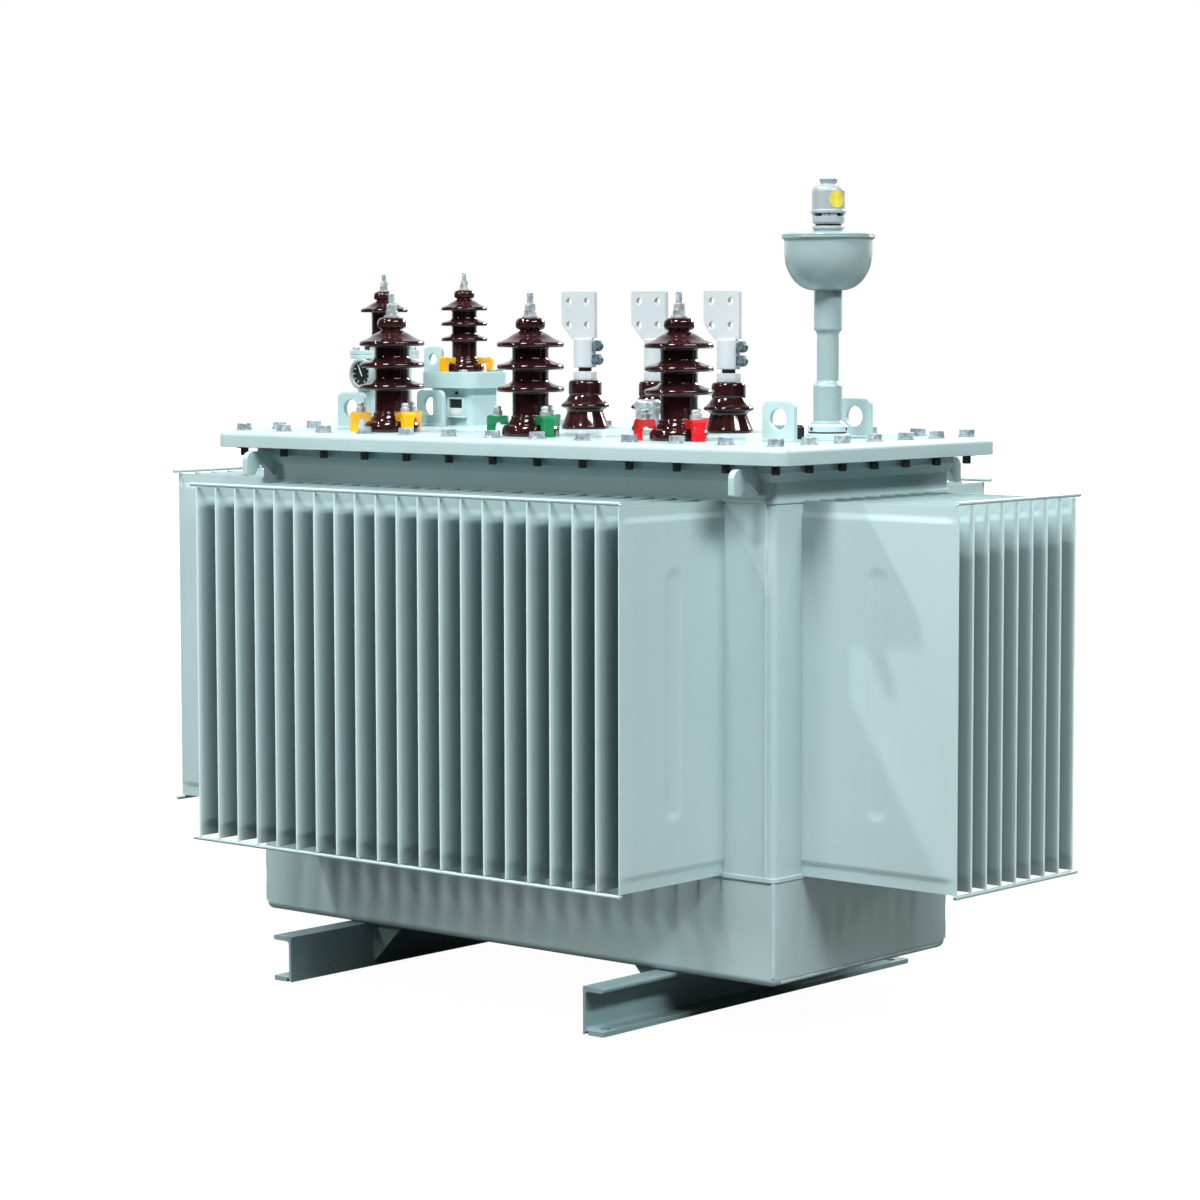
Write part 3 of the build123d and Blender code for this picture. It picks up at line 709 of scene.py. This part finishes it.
def cover():
    """Cover plate with a folded rim, well rounded along its top."""
    thickness = cover_high.z - cover_low.z
    lid = plate(rounded_box(cover_high.x, cover_high.y, 0.024), [], thickness, 0)
    upper = [e for e in lid.edges if min(v.co.z for v in e.verts) > thickness - 1e-5]
    ease(lid, [e for e in upper if e.calc_face_angle() > 0.6], 0.011, 5)
    soften(lid, 0.0012, 2, 60)
    bmesh.ops.translate(lid, verts=lid.verts, vec=(0, 0, cover_low.z))
    return keep_piece("cover", lid, cover_shaded_paint, ["cover_plate"])


def cover_bolt_places():
    """Bolt centres round the cover's rim, corners once each."""
    far_x = cover_high.x - cover_bolt_end_distance
    far_y = cover_high.y - cover_bolt_side_distance
    places = []
    for x in steps(-far_x, far_x, cover_bolts_long_side - 1):
        places += [(x, -far_y), (x, far_y)]
    for y in steps(-far_y, far_y, cover_bolts_short_side)[1:-1]:
        places += [(-far_x, y), (far_x, y)]
    return places


def cover_bolts():
    """Hexagon bolts on washers through the cover, with the washers and bolt ends below it painted dark as
    painted shade under the cover's rim.
    """
    shape = bmesh.new()
    washer = disc(0.015, 0.0025, 0.0005, 24)
    head = hexagon(cover_bolt_across, cover_bolt_head, 0.0011)
    tail = rod((0, 0, 0), (0, 0, cover_bolt_tail), 0.0072, 20, 0.0014)
    for number, (x, y) in enumerate(cover_bolt_places()):
        stamp(shape, washer, standing(x, y, cover_high.z))
        stamp(shape, head, standing(x, y, cover_high.z + 0.0024, number * 0.83))
        # the washers and bolt ends under the rim take the steel painted dark as painted shade
        stamp(shape, washer, standing(x, y, cover_low.z - 0.0024), 1)
        stamp(shape, tail, standing(x, y, cover_low.z - cover_bolt_tail), 1)
    for each in (washer, head, tail):
        each.free()
    return keep_piece("cover_bolts", shape, [bolt_steel, shaded_bolt_steel])


pan()
posts()
neck()
cover()
cover_bolts()

# Skids, lifting hooks and lugs


def skid(node):
    """Channel runner with its flanges outward, and a bolt hole near each end of the lower flange."""
    low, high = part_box(node)
    outward = math.copysign(1.0, low.x + high.x)
    width, length, height = high - low
    flange, web, root = 0.008, 0.005, 0.006
    heel, inside = web + root, height - flange
    lower = [(0, 0, 0), (heel, 0, 0), (heel, flange, 0), (web, flange, root)]
    upper = [(web, inside, root), (width, inside, 0.004), (width, height, 0.002), (0, height, 0)]
    corner = standing(low.x if outward > 0 else high.x, low.y, low.z)
    lengthwise = Matrix(((outward, 0, 0), (0, 0, 1), (0, 1, 0))).to_4x4()
    shape = bmesh.new()
    add(shape, plate(lower + upper, [], length, 0), corner @ lengthwise)
    sole = [(heel, 0, 0), (width, 0, 0.003), (width, length, 0.003), (heel, length, 0)]
    holes = [((web + width) / 2, place, 0.009) for place in (0.030, length - 0.030)]
    add(shape, plate(sole, holes, flange, 0), corner @ Matrix.Diagonal((outward, 1, 1, 1)))
    return keep_piece(f"{node}_channel", shape, skid_shaded_paint, [node])


def gussets():
    """Triangular stiffeners between the skids and the tank, with beads along their feet."""
    low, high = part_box("skid_gussets")
    shape = bmesh.new()
    thickness, reach = 0.006, 0.070
    height = high.z - low.z
    tab = plate([(0, 0, 0), (0, height, 0), (-reach, height, 0)], [], thickness, 0)
    for x in (-1, 1):
        inboard = Matrix(((x, 0, 0), (0, 0, 1), (0, 1, 0))).to_4x4()
        for y in (low.y, high.y - thickness):
            stamp(shape, tab, standing(x * high.x, y, low.z) @ inboard)
            for face in (y, y + thickness):
                add_bead(shape, (x * high.x, face, low.z + 0.004), (x * high.x, face, high.z), 0.003)
    tab.free()
    return keep_piece("gussets", shape, skid_shaded_paint, ["skid_gussets"])


def hooks():
    """Plate hooks under the cover, open downward, one at each end of the long sides."""
    low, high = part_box("lifting_hooks")
    shape = bmesh.new()
    thickness = 0.012
    reach = high.y - tank_front
    height = high.z - low.z
    back = [(0, 0, 0), (0, 0.020, 0), (0.011, 0.036, 0), (0.011, height, 0)]
    nose = [(reach, height, 0.016), (reach, 0, 0.003), (reach - 0.019, 0, 0.003)]
    notch = [(0.035, 0.024, 0.006), (0.006, 0, 0.001)]
    hook = plate(back + nose + notch, [], thickness, 0.0012)
    for x in (low.x, high.x - thickness):
        for y in (-1, 1):
            outward = Matrix(((0, 0, 1), (y, 0, 0), (0, 1, 0))).to_4x4()
            stamp(shape, hook, standing(x, y * tank_front, low.z) @ outward)
            for face in (x, x + thickness):
                add_bead(shape, (face, y * tank_front, low.z), (face, y * tank_front, low.z + 0.020), 0.003)
    hook.free()
    return keep_piece("hooks", shape, paint, ["lifting_hooks"])


def eye_plate(width, height, thickness, corner, hole, level):
    """An upright plate with an eye, its foot on Z = 0 and its thickness centred on Y = 0."""
    half = width / 2
    outline = [(-half, 0, 0), (half, 0, 0), (half, height, corner), (-half, height, corner)]
    return stand_up(plate(outline, [(0, level, hole / 2)], thickness, 0.0012), thickness)


def cover_lugs():
    """Four eye plates welded on the cover."""
    low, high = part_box("cover_lugs")
    shape = bmesh.new()
    width, thickness = 0.067, 0.010
    run = width / 2 - 0.003
    seam = low.z + 0.0015
    lug = eye_plate(width, high.z - low.z, thickness, 0.012, 0.035, 0.037)
    for x in (low.x + width / 2, high.x - width / 2):
        for y in (low.y + thickness / 2, high.y - thickness / 2):
            stamp(shape, lug, standing(x, y, low.z))
            for face in (y - thickness / 2, y + thickness / 2):
                add_bead(shape, (x - run, face, seam), (x + run, face, seam), 0.0035)
    lug.free()
    return keep_piece("lugs", shape, paint, ["cover_lugs"])


skid("skid_left")
skid("skid_right")
gussets()
hooks()
cover_lugs()

# Bushings


def clamp_claw(size):
    """A cast claw: an arm on the porcelain foot, a saddle for its nut, and a leg that narrows downward."""
    mm = 0.001 * size
    arm = [(38, 20, 1), (50, 20, 1), (53, 24, 2), (59, 23, 3)]
    leg = [(61, 10, 3), (60, 0, 0.6), (76, 0, 0.6), (75, 20, 4)]
    back = [(75, 34, 3), (70, 37, 2), (57, 33, 6), (46, 36, 3), (39, 35, 2)]
    width = 26 * mm
    shape = stand_up(plate(in_mm(arm + leg + back, size), [], width, 1.4 * mm, 3), width)
    cut_across(shape, 2, [level * mm for level in (6, 14, 20, 25, 29, 33)])
    for vert in shape.verts:
        rise = vert.co.z / (37 * mm)
        vert.co.y *= 0.66 + 0.10 * rise + 0.24 * smooth_step((rise - 0.5) / 0.5)
    return shape


def clamps(name, node, centre, size, turn, finish, nuts=True):
    """Three claws round a porcelain foot, each held down by a nut on a stud where it has one."""
    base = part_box(node)[0].z
    shape = bmesh.new()
    claw = clamp_claw(size)
    mm = 0.001 * size
    washer = disc(9 * mm, 2 * mm, 0.4 * mm, 28)
    dome = [(0, 0, 0), (6.2, 0, 0.5), (5.6, 1.5, 0.8), (6.6, 3.5, 0.8), (6, 8.5, 2), (0, 9, 0)]
    cap = turned(in_mm(dome, size), 28)
    nut = hexagon(15.5 * mm, 8 * mm, 1.2 * mm)
    for number in range(3):
        place = standing(*centre, base, turn + number * math.tau / 3)
        stamp(shape, claw, place)
        if nuts:
            stamp(shape, washer, place @ standing(57 * mm, 0, 34.5 * mm), 1)
            stamp(shape, nut, place @ standing(57 * mm, 0, 36.4 * mm, 0.4 + number), 1)
            stamp(shape, cap, place @ standing(57 * mm, 0, 44 * mm), 1)
    for each in (claw, washer, cap, nut):
        each.free()
    return keep_piece(name, shape, [finish, zinc] if nuts else finish, [node])


def shed(level):
    """Profile of one shed on the barrel: a hollow underside, a thick rounded lip and a low sloping top."""
    underside = [(31.5, level - 6, 2.5), (46, level - 3.5, 5), (53, level - 6, 2)]
    lip = [(58, level - 5, 3.5), (58.4, level + 2.4, 3.5), (52, level + 4.4, 4)]
    return underside + lip + [(42, level + 7, 5), (31.5, level + 12, 4)]


def porcelain_outline(size, levels=(82, 120.5, 159), cut=0):
    """Profile of a porcelain from its foot to its head; a cut takes that much off its barrel."""
    rings = [(0, 0, 0), (48.5, 0, 1.5), (50, 3, 2), (50, 14, 4), (45, 19.5, 3), (38, 19.8, 1)]
    rings += [(36.5, 26, 3), (33.5, 30, 2), (34, 34, 1.5), (31.5, 36, 1.5)]
    for level in levels[:-1]:
        rings += shed(level - cut)
    top = levels[-1] - cut
    rings += shed(top)[:-2]
    rings += [(40, top + 9.5, 5), (31, top + 16, 5), (22, top + 20.5, 3), (18.5, top + 22, 1.5)]
    rings += [(18.5, top + 24.5, 1.5), (24, top + 26, 2.5), (26, top + 32, 4), (25, top + 41, 4)]
    rings += [(19, top + 45, 2), (0, top + 45, 0)]
    return in_mm(rings, size)


def terminal_shape(size):
    """Washer, lock nut, nut and threaded stud on a bushing's head, standing on Z = 0."""
    mm = 0.001 * size
    shape = bmesh.new()
    for radius, foot, thickness in ((14, 0, 3.5), (10.5, 11, 2.2)):
        add(shape, disc(radius * mm, thickness * mm, 0.4 * mm, 32), standing(0, 0, foot * mm))
    for across, height, foot, turn in ((19, 7.5, 3.5, 0.3), (18, 11, 13.2, 0.75)):
        add(shape, hexagon(across * mm, height * mm, 1.1 * mm), standing(0, 0, foot * mm, turn))
    foot, rise, turns = 24, 2.4, 8
    thread = [(0, foot, 0)]
    for number in range(turns):
        level = foot + number * rise
        thread += [(4.9, level, 0), (5.9, level + rise * 0.35, 0), (5.9, level + rise * 0.6, 0)]
    thread += [(4.9, foot + turns * rise, 0), (4.2, 45.6, 0.4), (0, 46, 0)]
    add(shape, turned(in_mm(thread, size), 24))
    return shape


def high_voltage(side, finish):
    """One high-voltage bushing with its clamps and terminal."""
    node = f"hv_bushing_{side}"
    turned_piece(f"hv_porcelain_{side}", node, porcelain_outline(1.0), 64, glaze, 50)
    foot = foot_of(node)
    stud = terminal_shape(1.0)
    bmesh.ops.translate(stud, verts=stud.verts, vec=(foot.x, foot.y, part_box(node)[1].z))
    keep_piece(f"hv_stud_{side}", stud, zinc, [f"hv_terminal_{side}"])
    clamps(f"hv_claws_{side}", f"hv_clamps_{side}", foot.xy, 1.0, math.radians(-23), finish)


def low_voltage(side):
    """One low-voltage bushing with its hexagon collar and its stud."""
    node = f"lv_bushing_{side}"
    skirt = [(0, 0, 0), (43, 0, 1), (44, 4, 2), (40, 13, 6), (32, 34, 4)]
    rim = [(41, 39, 1.5), (44.5, 40, 1.5), (44.5, 45, 2.5), (37, 50, 5), (30, 60, 3), (29, 62, 1)]
    head = [(30.5, 64, 1.5), (30.5, 85, 3), (27, 89, 2), (0, 89, 0)]
    turned_piece(f"lv_porcelain_{side}", node, in_mm(skirt + rim + head), 56, glaze, 50)
    x, y, _ = foot_of(node)
    low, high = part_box(f"lv_stud_{side}")
    stud = bmesh.new()
    add(stud, hexagon(0.038, 0.016, 0.0014), standing(x, y, low.z, 0.2))
    add(stud, rod((x, y, low.z + 0.010), (x, y, high.z), 0.012, 24), material=1)
    keep_piece(f"lv_collar_{side}", stud, [tinned, black], [f"lv_stud_{side}"])


def flag_terminal(side):
    """Clamp with two screwed ears, and the upright flag plate with four bolt holes."""
    node = f"lv_flag_{side}"
    low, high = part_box(node)
    x, y, _ = foot_of(f"lv_bushing_{side}")
    seat = standing(x, y, low.z)
    shape = bmesh.new()
    clamp_height = 0.054
    barrel = [(0, 0, 0), (0.021, 0, 0.002), (0.021, clamp_height, 0.004), (0, clamp_height, 0)]
    add(shape, turned(barrel, 40), seat)
    ear, half_ear = 0.031, 0.005
    screw = hexagon(0.0130, 0.0025, 0.0009)
    for level in (clamp_height * 0.27, clamp_height * 0.73):
        add(shape, block((0.004, -half_ear, level - 0.008), (0.029, half_ear, level + 0.008), 0.002), seat, 1)
        add(shape, rod((ear, -half_ear, level), (ear, half_ear, level), 0.0100, 28, 0.0015), seat, 1)
        for face in (-half_ear, half_ear):
            across = Matrix.Rotation(math.copysign(math.pi / 2, -face), 4, "X")
            stamp(shape, screw, seat @ Matrix.Translation((ear, face, level)) @ across, 1)
    screw.free()
    thickness, chamfer = 0.008, 0.025
    foot, top = clamp_height - 0.003, high.z - low.z
    left, right = low.x - x, 0.026
    outline = [
        (left + chamfer, foot, 0.002),
        (right, foot + 0.003, 0.001),
        (right, top, 0.0015),
        (left, top, 0.0015),
        (left, foot + 0.003 + chamfer, 0.002),
    ]
    middle = (left + right) / 2
    holes = [(middle + dx, top - 0.018 - dz, 0.007) for dx in (-0.0215, 0.0215) for dz in (0, 0.043)]
    add(shape, stand_up(plate(outline, holes, thickness, 0.0009), thickness), seat)
    return keep_piece(f"lv_terminal_{side}", shape, [tinned, ear_steel], [node])


high_voltage("left", yellow)
high_voltage("middle", green)
high_voltage("right", red)
for side in ("left", "middle", "right"):
    low_voltage(side)
for side in ("left", "middle", "right"):
    flag_terminal(side)

# Oil filling pipe, bowl and relief valve


def filler():
    """Round flange on its pad with set screws, sleeved pipe, bowl and lid."""
    seat = standing(*foot_of("filler_flange"))
    pad = [(0, 0, 0), (36, 0, 1), (36, 11.5, 1.5), (0, 11.5, 0)]
    gasket = [(0, 11, 0), (32.5, 11, 0), (32.5, 14.5, 0), (0, 14.5, 0)]
    flange = [(0, 14, 0), (33.5, 14, 1), (33.5, 23.5, 1), (28.5, 28, 2), (0, 28, 0)]
    shape = bmesh.new()
    for outline, material in ((pad, 0), (gasket, 1), (flange, 0)):
        add(shape, turned(in_mm(outline), 56), seat, material)
    screw = rod((0.030, 0, 0.019), (0.0345, 0, 0.019), 0.0028, 16, 0.0006)
    for angle in (-106, 14, 134):
        stamp(shape, screw, seat @ standing(0, 0, 0, math.radians(angle)), 1)
    screw.free()
    keep_piece("filler_base", shape, [paint, black], ["filler_flange"])

    length = height_in_mm("filler_pipe")
    pipe = [(15, 0, 0), (24, 0, 0), (24, 63, 2), (18.5, 70, 3), (18.5, length - 70, 3)]
    pipe += [(23.5, length - 65, 2), (23.5, length, 0), (15, length, 0)]
    weld = [(22, -1, 0), (28.5, 0, 1), (24.5, 4.5, 1), (22, 5, 0)]
    shape = bmesh.new()
    for outline in (pipe, weld):
        add(shape, turned(in_mm(outline), 40), standing(*foot_of("filler_pipe")))
    keep_piece("filler_tube", shape, filler_shaded_paint, ["filler_pipe"])

    height = height_in_mm("filler_bowl")
    foot, wide, wall, shoulder = 24, 73.5, 3, height - 26
    belly = []
    for angle in steps(0, math.pi / 2, 12):
        belly.append((foot + (wide - foot) * math.sin(angle), shoulder * (1 - math.cos(angle)), 0))
    inside = [(radius - wall, level + wall, 0) for radius, level, _ in reversed(belly)]
    rim = [(wide, height - 6, 2), (77.5, height - 3, 1), (77.5, height, 1), (wide - wall, height, 1)]
    bowl = [(0, 0, 0), *belly, *rim, *inside, (0, wall, 0)]
    turned_piece("bowl", "filler_bowl", in_mm(bowl), 64, filler_shaded_paint)

    rise = height_in_mm("bowl_lid")
    lid = [(0, 0, 0), (77.5, 0, 1), (77.5, 4, 2), (60, 6, 4), (25, rise, 2), (0, rise, 0)]
    turned_piece("lid", "bowl_lid", in_mm(lid), 64, filler_shaded_paint)


def valve():
    """Relief valve: base ring, ported section, body with a plain disc on its side, and flared cap."""
    seat = standing(*foot_of("relief_valve"))
    top = height_in_mm("relief_valve")
    base = [(0, 0, 0), (24, 0, 1), (26.5, 3, 1), (26.5, 7.5, 1.5), (0, 7.5, 0)]
    skirt = [(0, 10.5, 0), (23.5, 10.5, 1), (26.8, 14, 1), (26.8, 23.5, 0.8), (0, 23.5, 0)]
    body = [(0, 28.5, 0), (29.5, 28.5, 1), (29.5, 33.5, 1), (27.5, 34.5, 0.8), (27.5, 67, 3)]
    body += [(23.5, 73.5, 3), (13.5, 76, 2), (13, 77.5, 1), (14.8, top + 1, 1)]
    body += [(15.5, top + 2.5, 1), (14, top + 4.5, 1), (0, top + 4, 0)]
    shape = bmesh.new()
    add(shape, disc(0.0215, 0.034, 0, 40), seat, 1)
    for outline, segments in ((base, 48), (skirt, 48), (body, 56)):
        add(shape, turned(in_mm(outline), segments), seat)
    staves = 12
    stave = block((0.0205, -0.0062, 0.022), (0.0262, 0.0062, 0.030), 0)
    for number in range(staves):
        if number % 3:
            stamp(shape, stave, seat @ standing(0, 0, 0, math.tau * number / staves - 0.07))
    stave.free()
    keep_piece("relief_valve_body", shape, [valve_paint, black], ["relief_valve"])
    patch = bmesh.new()
    radius = 0.0279
    bmesh.ops.create_circle(patch, cap_ends=True, cap_tris=True, radius=0.0145, segments=32)
    bmesh.ops.subdivide_edges(patch, edges=patch.edges, cuts=2)
    for vert in patch.verts:
        bend = vert.co.x / radius
        vert.co = Vector((radius * math.cos(bend), radius * math.sin(bend), vert.co.y))
    facing = standing(0, 0, 0.0515, math.radians(-22))
    bmesh.ops.transform(patch, matrix=seat @ facing, verts=patch.verts)
    keep_piece("valve_disc", patch, yellow_disc)


filler()
valve()

# Gauge pot, turret and small fittings


def gauge():
    """Oil gauge pot with a flanged top, and the dial on its front boss."""
    x, _, base = foot_of("gauge_pot")
    seat = standing(x, 0, base)
    top = height_in_mm("gauge_pot")
    body = [(0, 0, 0), (56, 0, 1), (50, 6, 2), (50, top - 16, 2), (64, top - 15.5, 1), (64, top - 8.5, 1)]
    body += [(62.5, top - 8, 0.2), (64, top - 7.5, 1), (64, top, 1), (0, top, 0)]
    shape = bmesh.new()
    add(shape, turned(in_mm(body), 64), seat)
    bolt = hexagon(0.011, 0.006, 0.0007)
    for number in range(8):
        turn = standing(0, 0, 0, math.tau * (number + 0.5) / 8)
        stamp(shape, bolt, seat @ turn @ standing(0.057, 0, 0.001 * top), 1)
    bolt.free()
    low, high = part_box("gauge_dial")
    level = (low.z + high.z) / 2
    add(shape, rod((0, 0, 0.030), (0, 0, -high.y), 0.024, 40), standing(x, 0, level) @ upright)
    keep_piece("gauge_body", shape, [paint, zinc], ["gauge_pot"])

    depth = 1000 * (high.y - low.y)
    bezel = [(0, 0, 0), (30, 0, 1), (30, depth - 3, 2), (27, depth, 1.5), (23, depth, 1)]
    bezel += [(22, depth - 5, 0.5), (0, depth - 5, 0)]
    shape = bmesh.new()
    add(shape, turned(in_mm(bezel), 56), standing(x, high.y, level) @ upright)
    front = standing(x, low.y + 0.005, level) @ upright
    add(shape, disc(0.0215, 0.0006, 0, 48), front, 1)
    for number in range(11):
        angle = math.radians(-150 + 30 * number) + math.pi / 2
        length = 0.006 if number % 5 == 0 else 0.004
        tick = block((0.020 - length, -0.0006, 0.0004), (0.020, 0.0006, 0.0010), 0)
        add(shape, tick, front @ standing(0, 0, 0, angle), 2)
    needle = block((-0.005, -0.0008, 0.0010), (0.015, 0.0008, 0.0020), 0)
    add(shape, needle, front @ standing(0, 0, 0, math.radians(115)), 2)
    keep_piece("gauge_face", shape, [valve_paint, dial_face, white_mark], ["gauge_dial"])


def turret():
    """Turret box with a framed window, its bolted top plate and the eye on it."""
    low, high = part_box("turret")
    foot = foot_of("turret")
    shape = bmesh.new()
    body = plate(rounded_box(high.x - foot.x, high.y - foot.y, 0.014), [], high.z - low.z, 0)
    add(shape, body, standing(*foot))
    window = standing(foot.x + 0.020, low.y, low.z + 0.036)
    half_x, half_z, pane_x, pane_z = 0.0205, 0.0175, 0.0165, 0.0135
    for low_x, high_x, low_z, high_z in (
        (-half_x, half_x, pane_z, half_z),
        (-half_x, half_x, -half_z, -pane_z),
        (-half_x, -pane_x, -pane_z, pane_z),
        (pane_x, half_x, -pane_z, pane_z),
    ):
        add(shape, block((low_x, -0.006, low_z), (high_x, 0.001, high_z), 0.001), window)
    for low_z, high_z, material in ((-0.003, pane_z, 1), (-pane_z, -0.003, 2)):
        add(shape, block((-pane_x, -0.002, low_z), (pane_x, 0.0005, high_z), 0), window, material)
    add(shape, block((-0.024, -0.008, -half_z - 0.004), (0.024, 0.001, -half_z), 0.001), window)
    add(shape, rod((0, 0.002, 0.025), (0, -0.004, 0.025), 0.003, 16, 0.0006), window, 1)
    keep_piece("turret_box", shape, [paint, dial_face, white_mark], ["turret"])

    low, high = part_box("turret_plate")
    half_x, half_y = (high.x - low.x) / 2, (high.y - low.y) / 2
    thickness = 0.031
    top = low.z + thickness
    shape = bmesh.new()
    slab = plate(rounded_box(half_x, half_y, 0.030), [], thickness, 0.007, 5)
    add(shape, slab, standing(foot.x, foot.y, low.z))
    eye = eye_plate(0.046, high.z - top, 0.008, 0.012, 0.021, (high.z - top) / 2)
    add(shape, eye, standing(foot.x - 0.041, foot.y - 0.041, top))
    bolt = hexagon(0.015, 0.004, 0.0009)
    for x, y in ((0.040, -0.047), (0.058, 0.012), (0.046, 0.047), (-0.046, 0.047), (-0.058, -0.010)):
        stamp(shape, bolt, standing(foot.x + x, foot.y + y, top, x * 40), 1)
    bolt.free()
    keep_piece("turret_top", shape, [paint, bolt_steel], ["turret_plate"])


def small_bushings():
    """The two smaller bushings on the gauge pot and the turret, with their studs, and the claws round the
    turret's one.
    """
    size = 0.75
    pot_foot = Vector((foot_of("gauge_pot").x, 0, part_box("gauge_pot")[1].z))
    turret_foot = foot_of("turret")
    turret_foot.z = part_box("turret_clamps")[0].z
    porcelain = bmesh.new()
    studs = bmesh.new()
    for foot, outline, head in (
        (pot_foot, porcelain_outline(size, (159,), 60), 0.144),
        (turret_foot, porcelain_outline(size), 0.204),
    ):
        add(porcelain, turned(outline, 56), standing(*foot))
        add(studs, terminal_shape(size), standing(foot.x, foot.y, foot.z + head * size))
    keep_piece("small_porcelain", porcelain, glaze, ["small_bushings"], crease=50)
    keep_piece("small_studs", studs, zinc, ["small_terminals"])
    turn = math.radians(24)
    clamps("turret_claws", "turret_clamps", turret_foot.xy, size, turn, yellow, nuts=False)


def cover_fittings():
    """Thermometer pocket and a plain plug."""
    top = height_in_mm("thermometer_pocket")
    pocket = [(0, 0, 0), (23, 0, 1), (23, 10, 1), (21, 12, 1), (21, top - 14, 1), (23, top - 12, 1)]
    pocket += [(23, top - 4, 2), (19, top, 1), (0, top, 0)]
    turned_piece("pocket", "thermometer_pocket", in_mm(pocket), 40, zinc)
    top = height_in_mm("cover_plug")
    plug = [(0, 0, 0), (9, 0, 0.5), (9, top - 4, 2), (6, top, 2), (0, top, 0)]
    turned_piece("plug", "cover_plug", in_mm(plug), 32, black)


gauge()
turret()
small_bushings()
cover_fittings()

# Light, floor and camera


def soft_light(name, place, target, width, height, power):
    """A rectangular lamp aimed at a point."""
    lamp = bpy.data.lights.new(name, "AREA")
    lamp.shape = "RECTANGLE"
    lamp.size = width
    lamp.size_y = height
    lamp.energy = power
    holder = bpy.data.objects.new(name, lamp)
    holder.location = place
    aim = Vector(target) - Vector(place)
    holder.rotation_euler = aim.to_track_quat("-Z", "Y").to_euler()
    bpy.context.scene.collection.objects.link(holder)


def white_floor():
    """A pale floor that shows as white and keeps the shadow under the skids."""
    shape = bmesh.new()
    bmesh.ops.create_grid(shape, x_segments=1, y_segments=1, size=30.0)
    mesh = bpy.data.meshes.new("floor")
    shape.to_mesh(mesh)
    shape.free()
    finish = Finish(bpy.data.materials.new("floor_white"))
    tone = finish.blend(finish.noise(3.0), (0.11, 0.11, 0.11, 1), (0.13, 0.13, 0.13, 1))
    diffuse = finish.node("ShaderNodeBsdfDiffuse", {}, {"Color": tone})
    glow = finish.node("ShaderNodeEmission", {}, {"Color": (1, 1, 1, 1), "Strength": 1.22})
    seen = finish.node("ShaderNodeLightPath", {}, {}, "Is Camera Ray")
    away = finish.node("ShaderNodeVectorMath", {"operation": "LENGTH"}, {0: finish.place}, "Value")
    share = seen * (0.8 + 0.2 * finish.step(away, 1.2, 3.0))
    mixed = finish.node("ShaderNodeMixShader", {}, {0: share, 1: diffuse, 2: glow})
    finish.node("ShaderNodeOutputMaterial", {}, {"Surface": mixed})
    mesh.materials.append(finish.owner)
    floor = bpy.data.objects.new("floor", mesh)
    floor.location.z = cad_box[0][2] - 0.001
    bpy.context.scene.collection.objects.link(floor)


def surroundings():
    """A dim studio with a lit white backdrop behind the tank, plain white to the camera."""
    world = bpy.data.worlds.new("studio")
    bpy.context.scene.world = world
    sky = Finish(world)
    way = sky.node("ShaderNodeTexCoord", {}, {}, "Generated")
    behind = (-math.sin(view_turn), math.cos(view_turn), 0)
    along = sky.node("ShaderNodeVectorMath", {"operation": "DOT_PRODUCT"}, {0: way, 1: behind}, "Value")
    mirrored = sky.node("ShaderNodeLightPath", {}, {}, "Is Glossy Ray")
    strength = 0.02 + sky.step(along, 0.3, 0.85) * (0.6 + 0.4 * mirrored)
    lit = sky.node("ShaderNodeBackground", {}, {"Color": (0.97, 0.99, 1.0, 1), "Strength": strength})
    shown = sky.node("ShaderNodeBackground", {}, {"Color": (1, 1, 1, 1), "Strength": 1.0})
    seen = sky.node("ShaderNodeLightPath", {}, {}, "Is Camera Ray")
    mixed = sky.node("ShaderNodeMixShader", {}, {0: seen, 1: lit, 2: shown})
    sky.node("ShaderNodeOutputWorld", {}, {"Surface": mixed})


def camera():
    data = bpy.data.cameras.new("camera")
    data.lens = lens_length
    data.sensor_width = sensor_width
    holder = bpy.data.objects.new("camera", data)
    holder.location = eye_place
    holder.rotation_euler = (math.pi / 2 - view_drop, view_roll, view_turn)
    bpy.context.scene.collection.objects.link(holder)
    bpy.context.scene.camera = holder


white_floor()
surroundings()
soft_light("left_key", (-4.3, -3.6, 8.3), (0, 0, 0.6), 0.3, 0.3, 460)
soft_light("front_strip", (0.8, -5.2, 8.4), (0, 0, 0.6), 1.8, 3.2, 830)
soft_light("right_strip", (7.2, -1.3, 6.8), (0, 0, 0.6), 6.0, 1.0, 770)
soft_light("low_fill", (-3.0, -8.3, 4.2), (0, 0, 0.6), 1.0, 1.0, 165)
soft_light("back_strip", (0.2, 7.2, 4.0), (0, 0, 0.7), 4.0, 1.5, 680)
camera()

bpy.context.scene.view_settings.view_transform = "Standard"
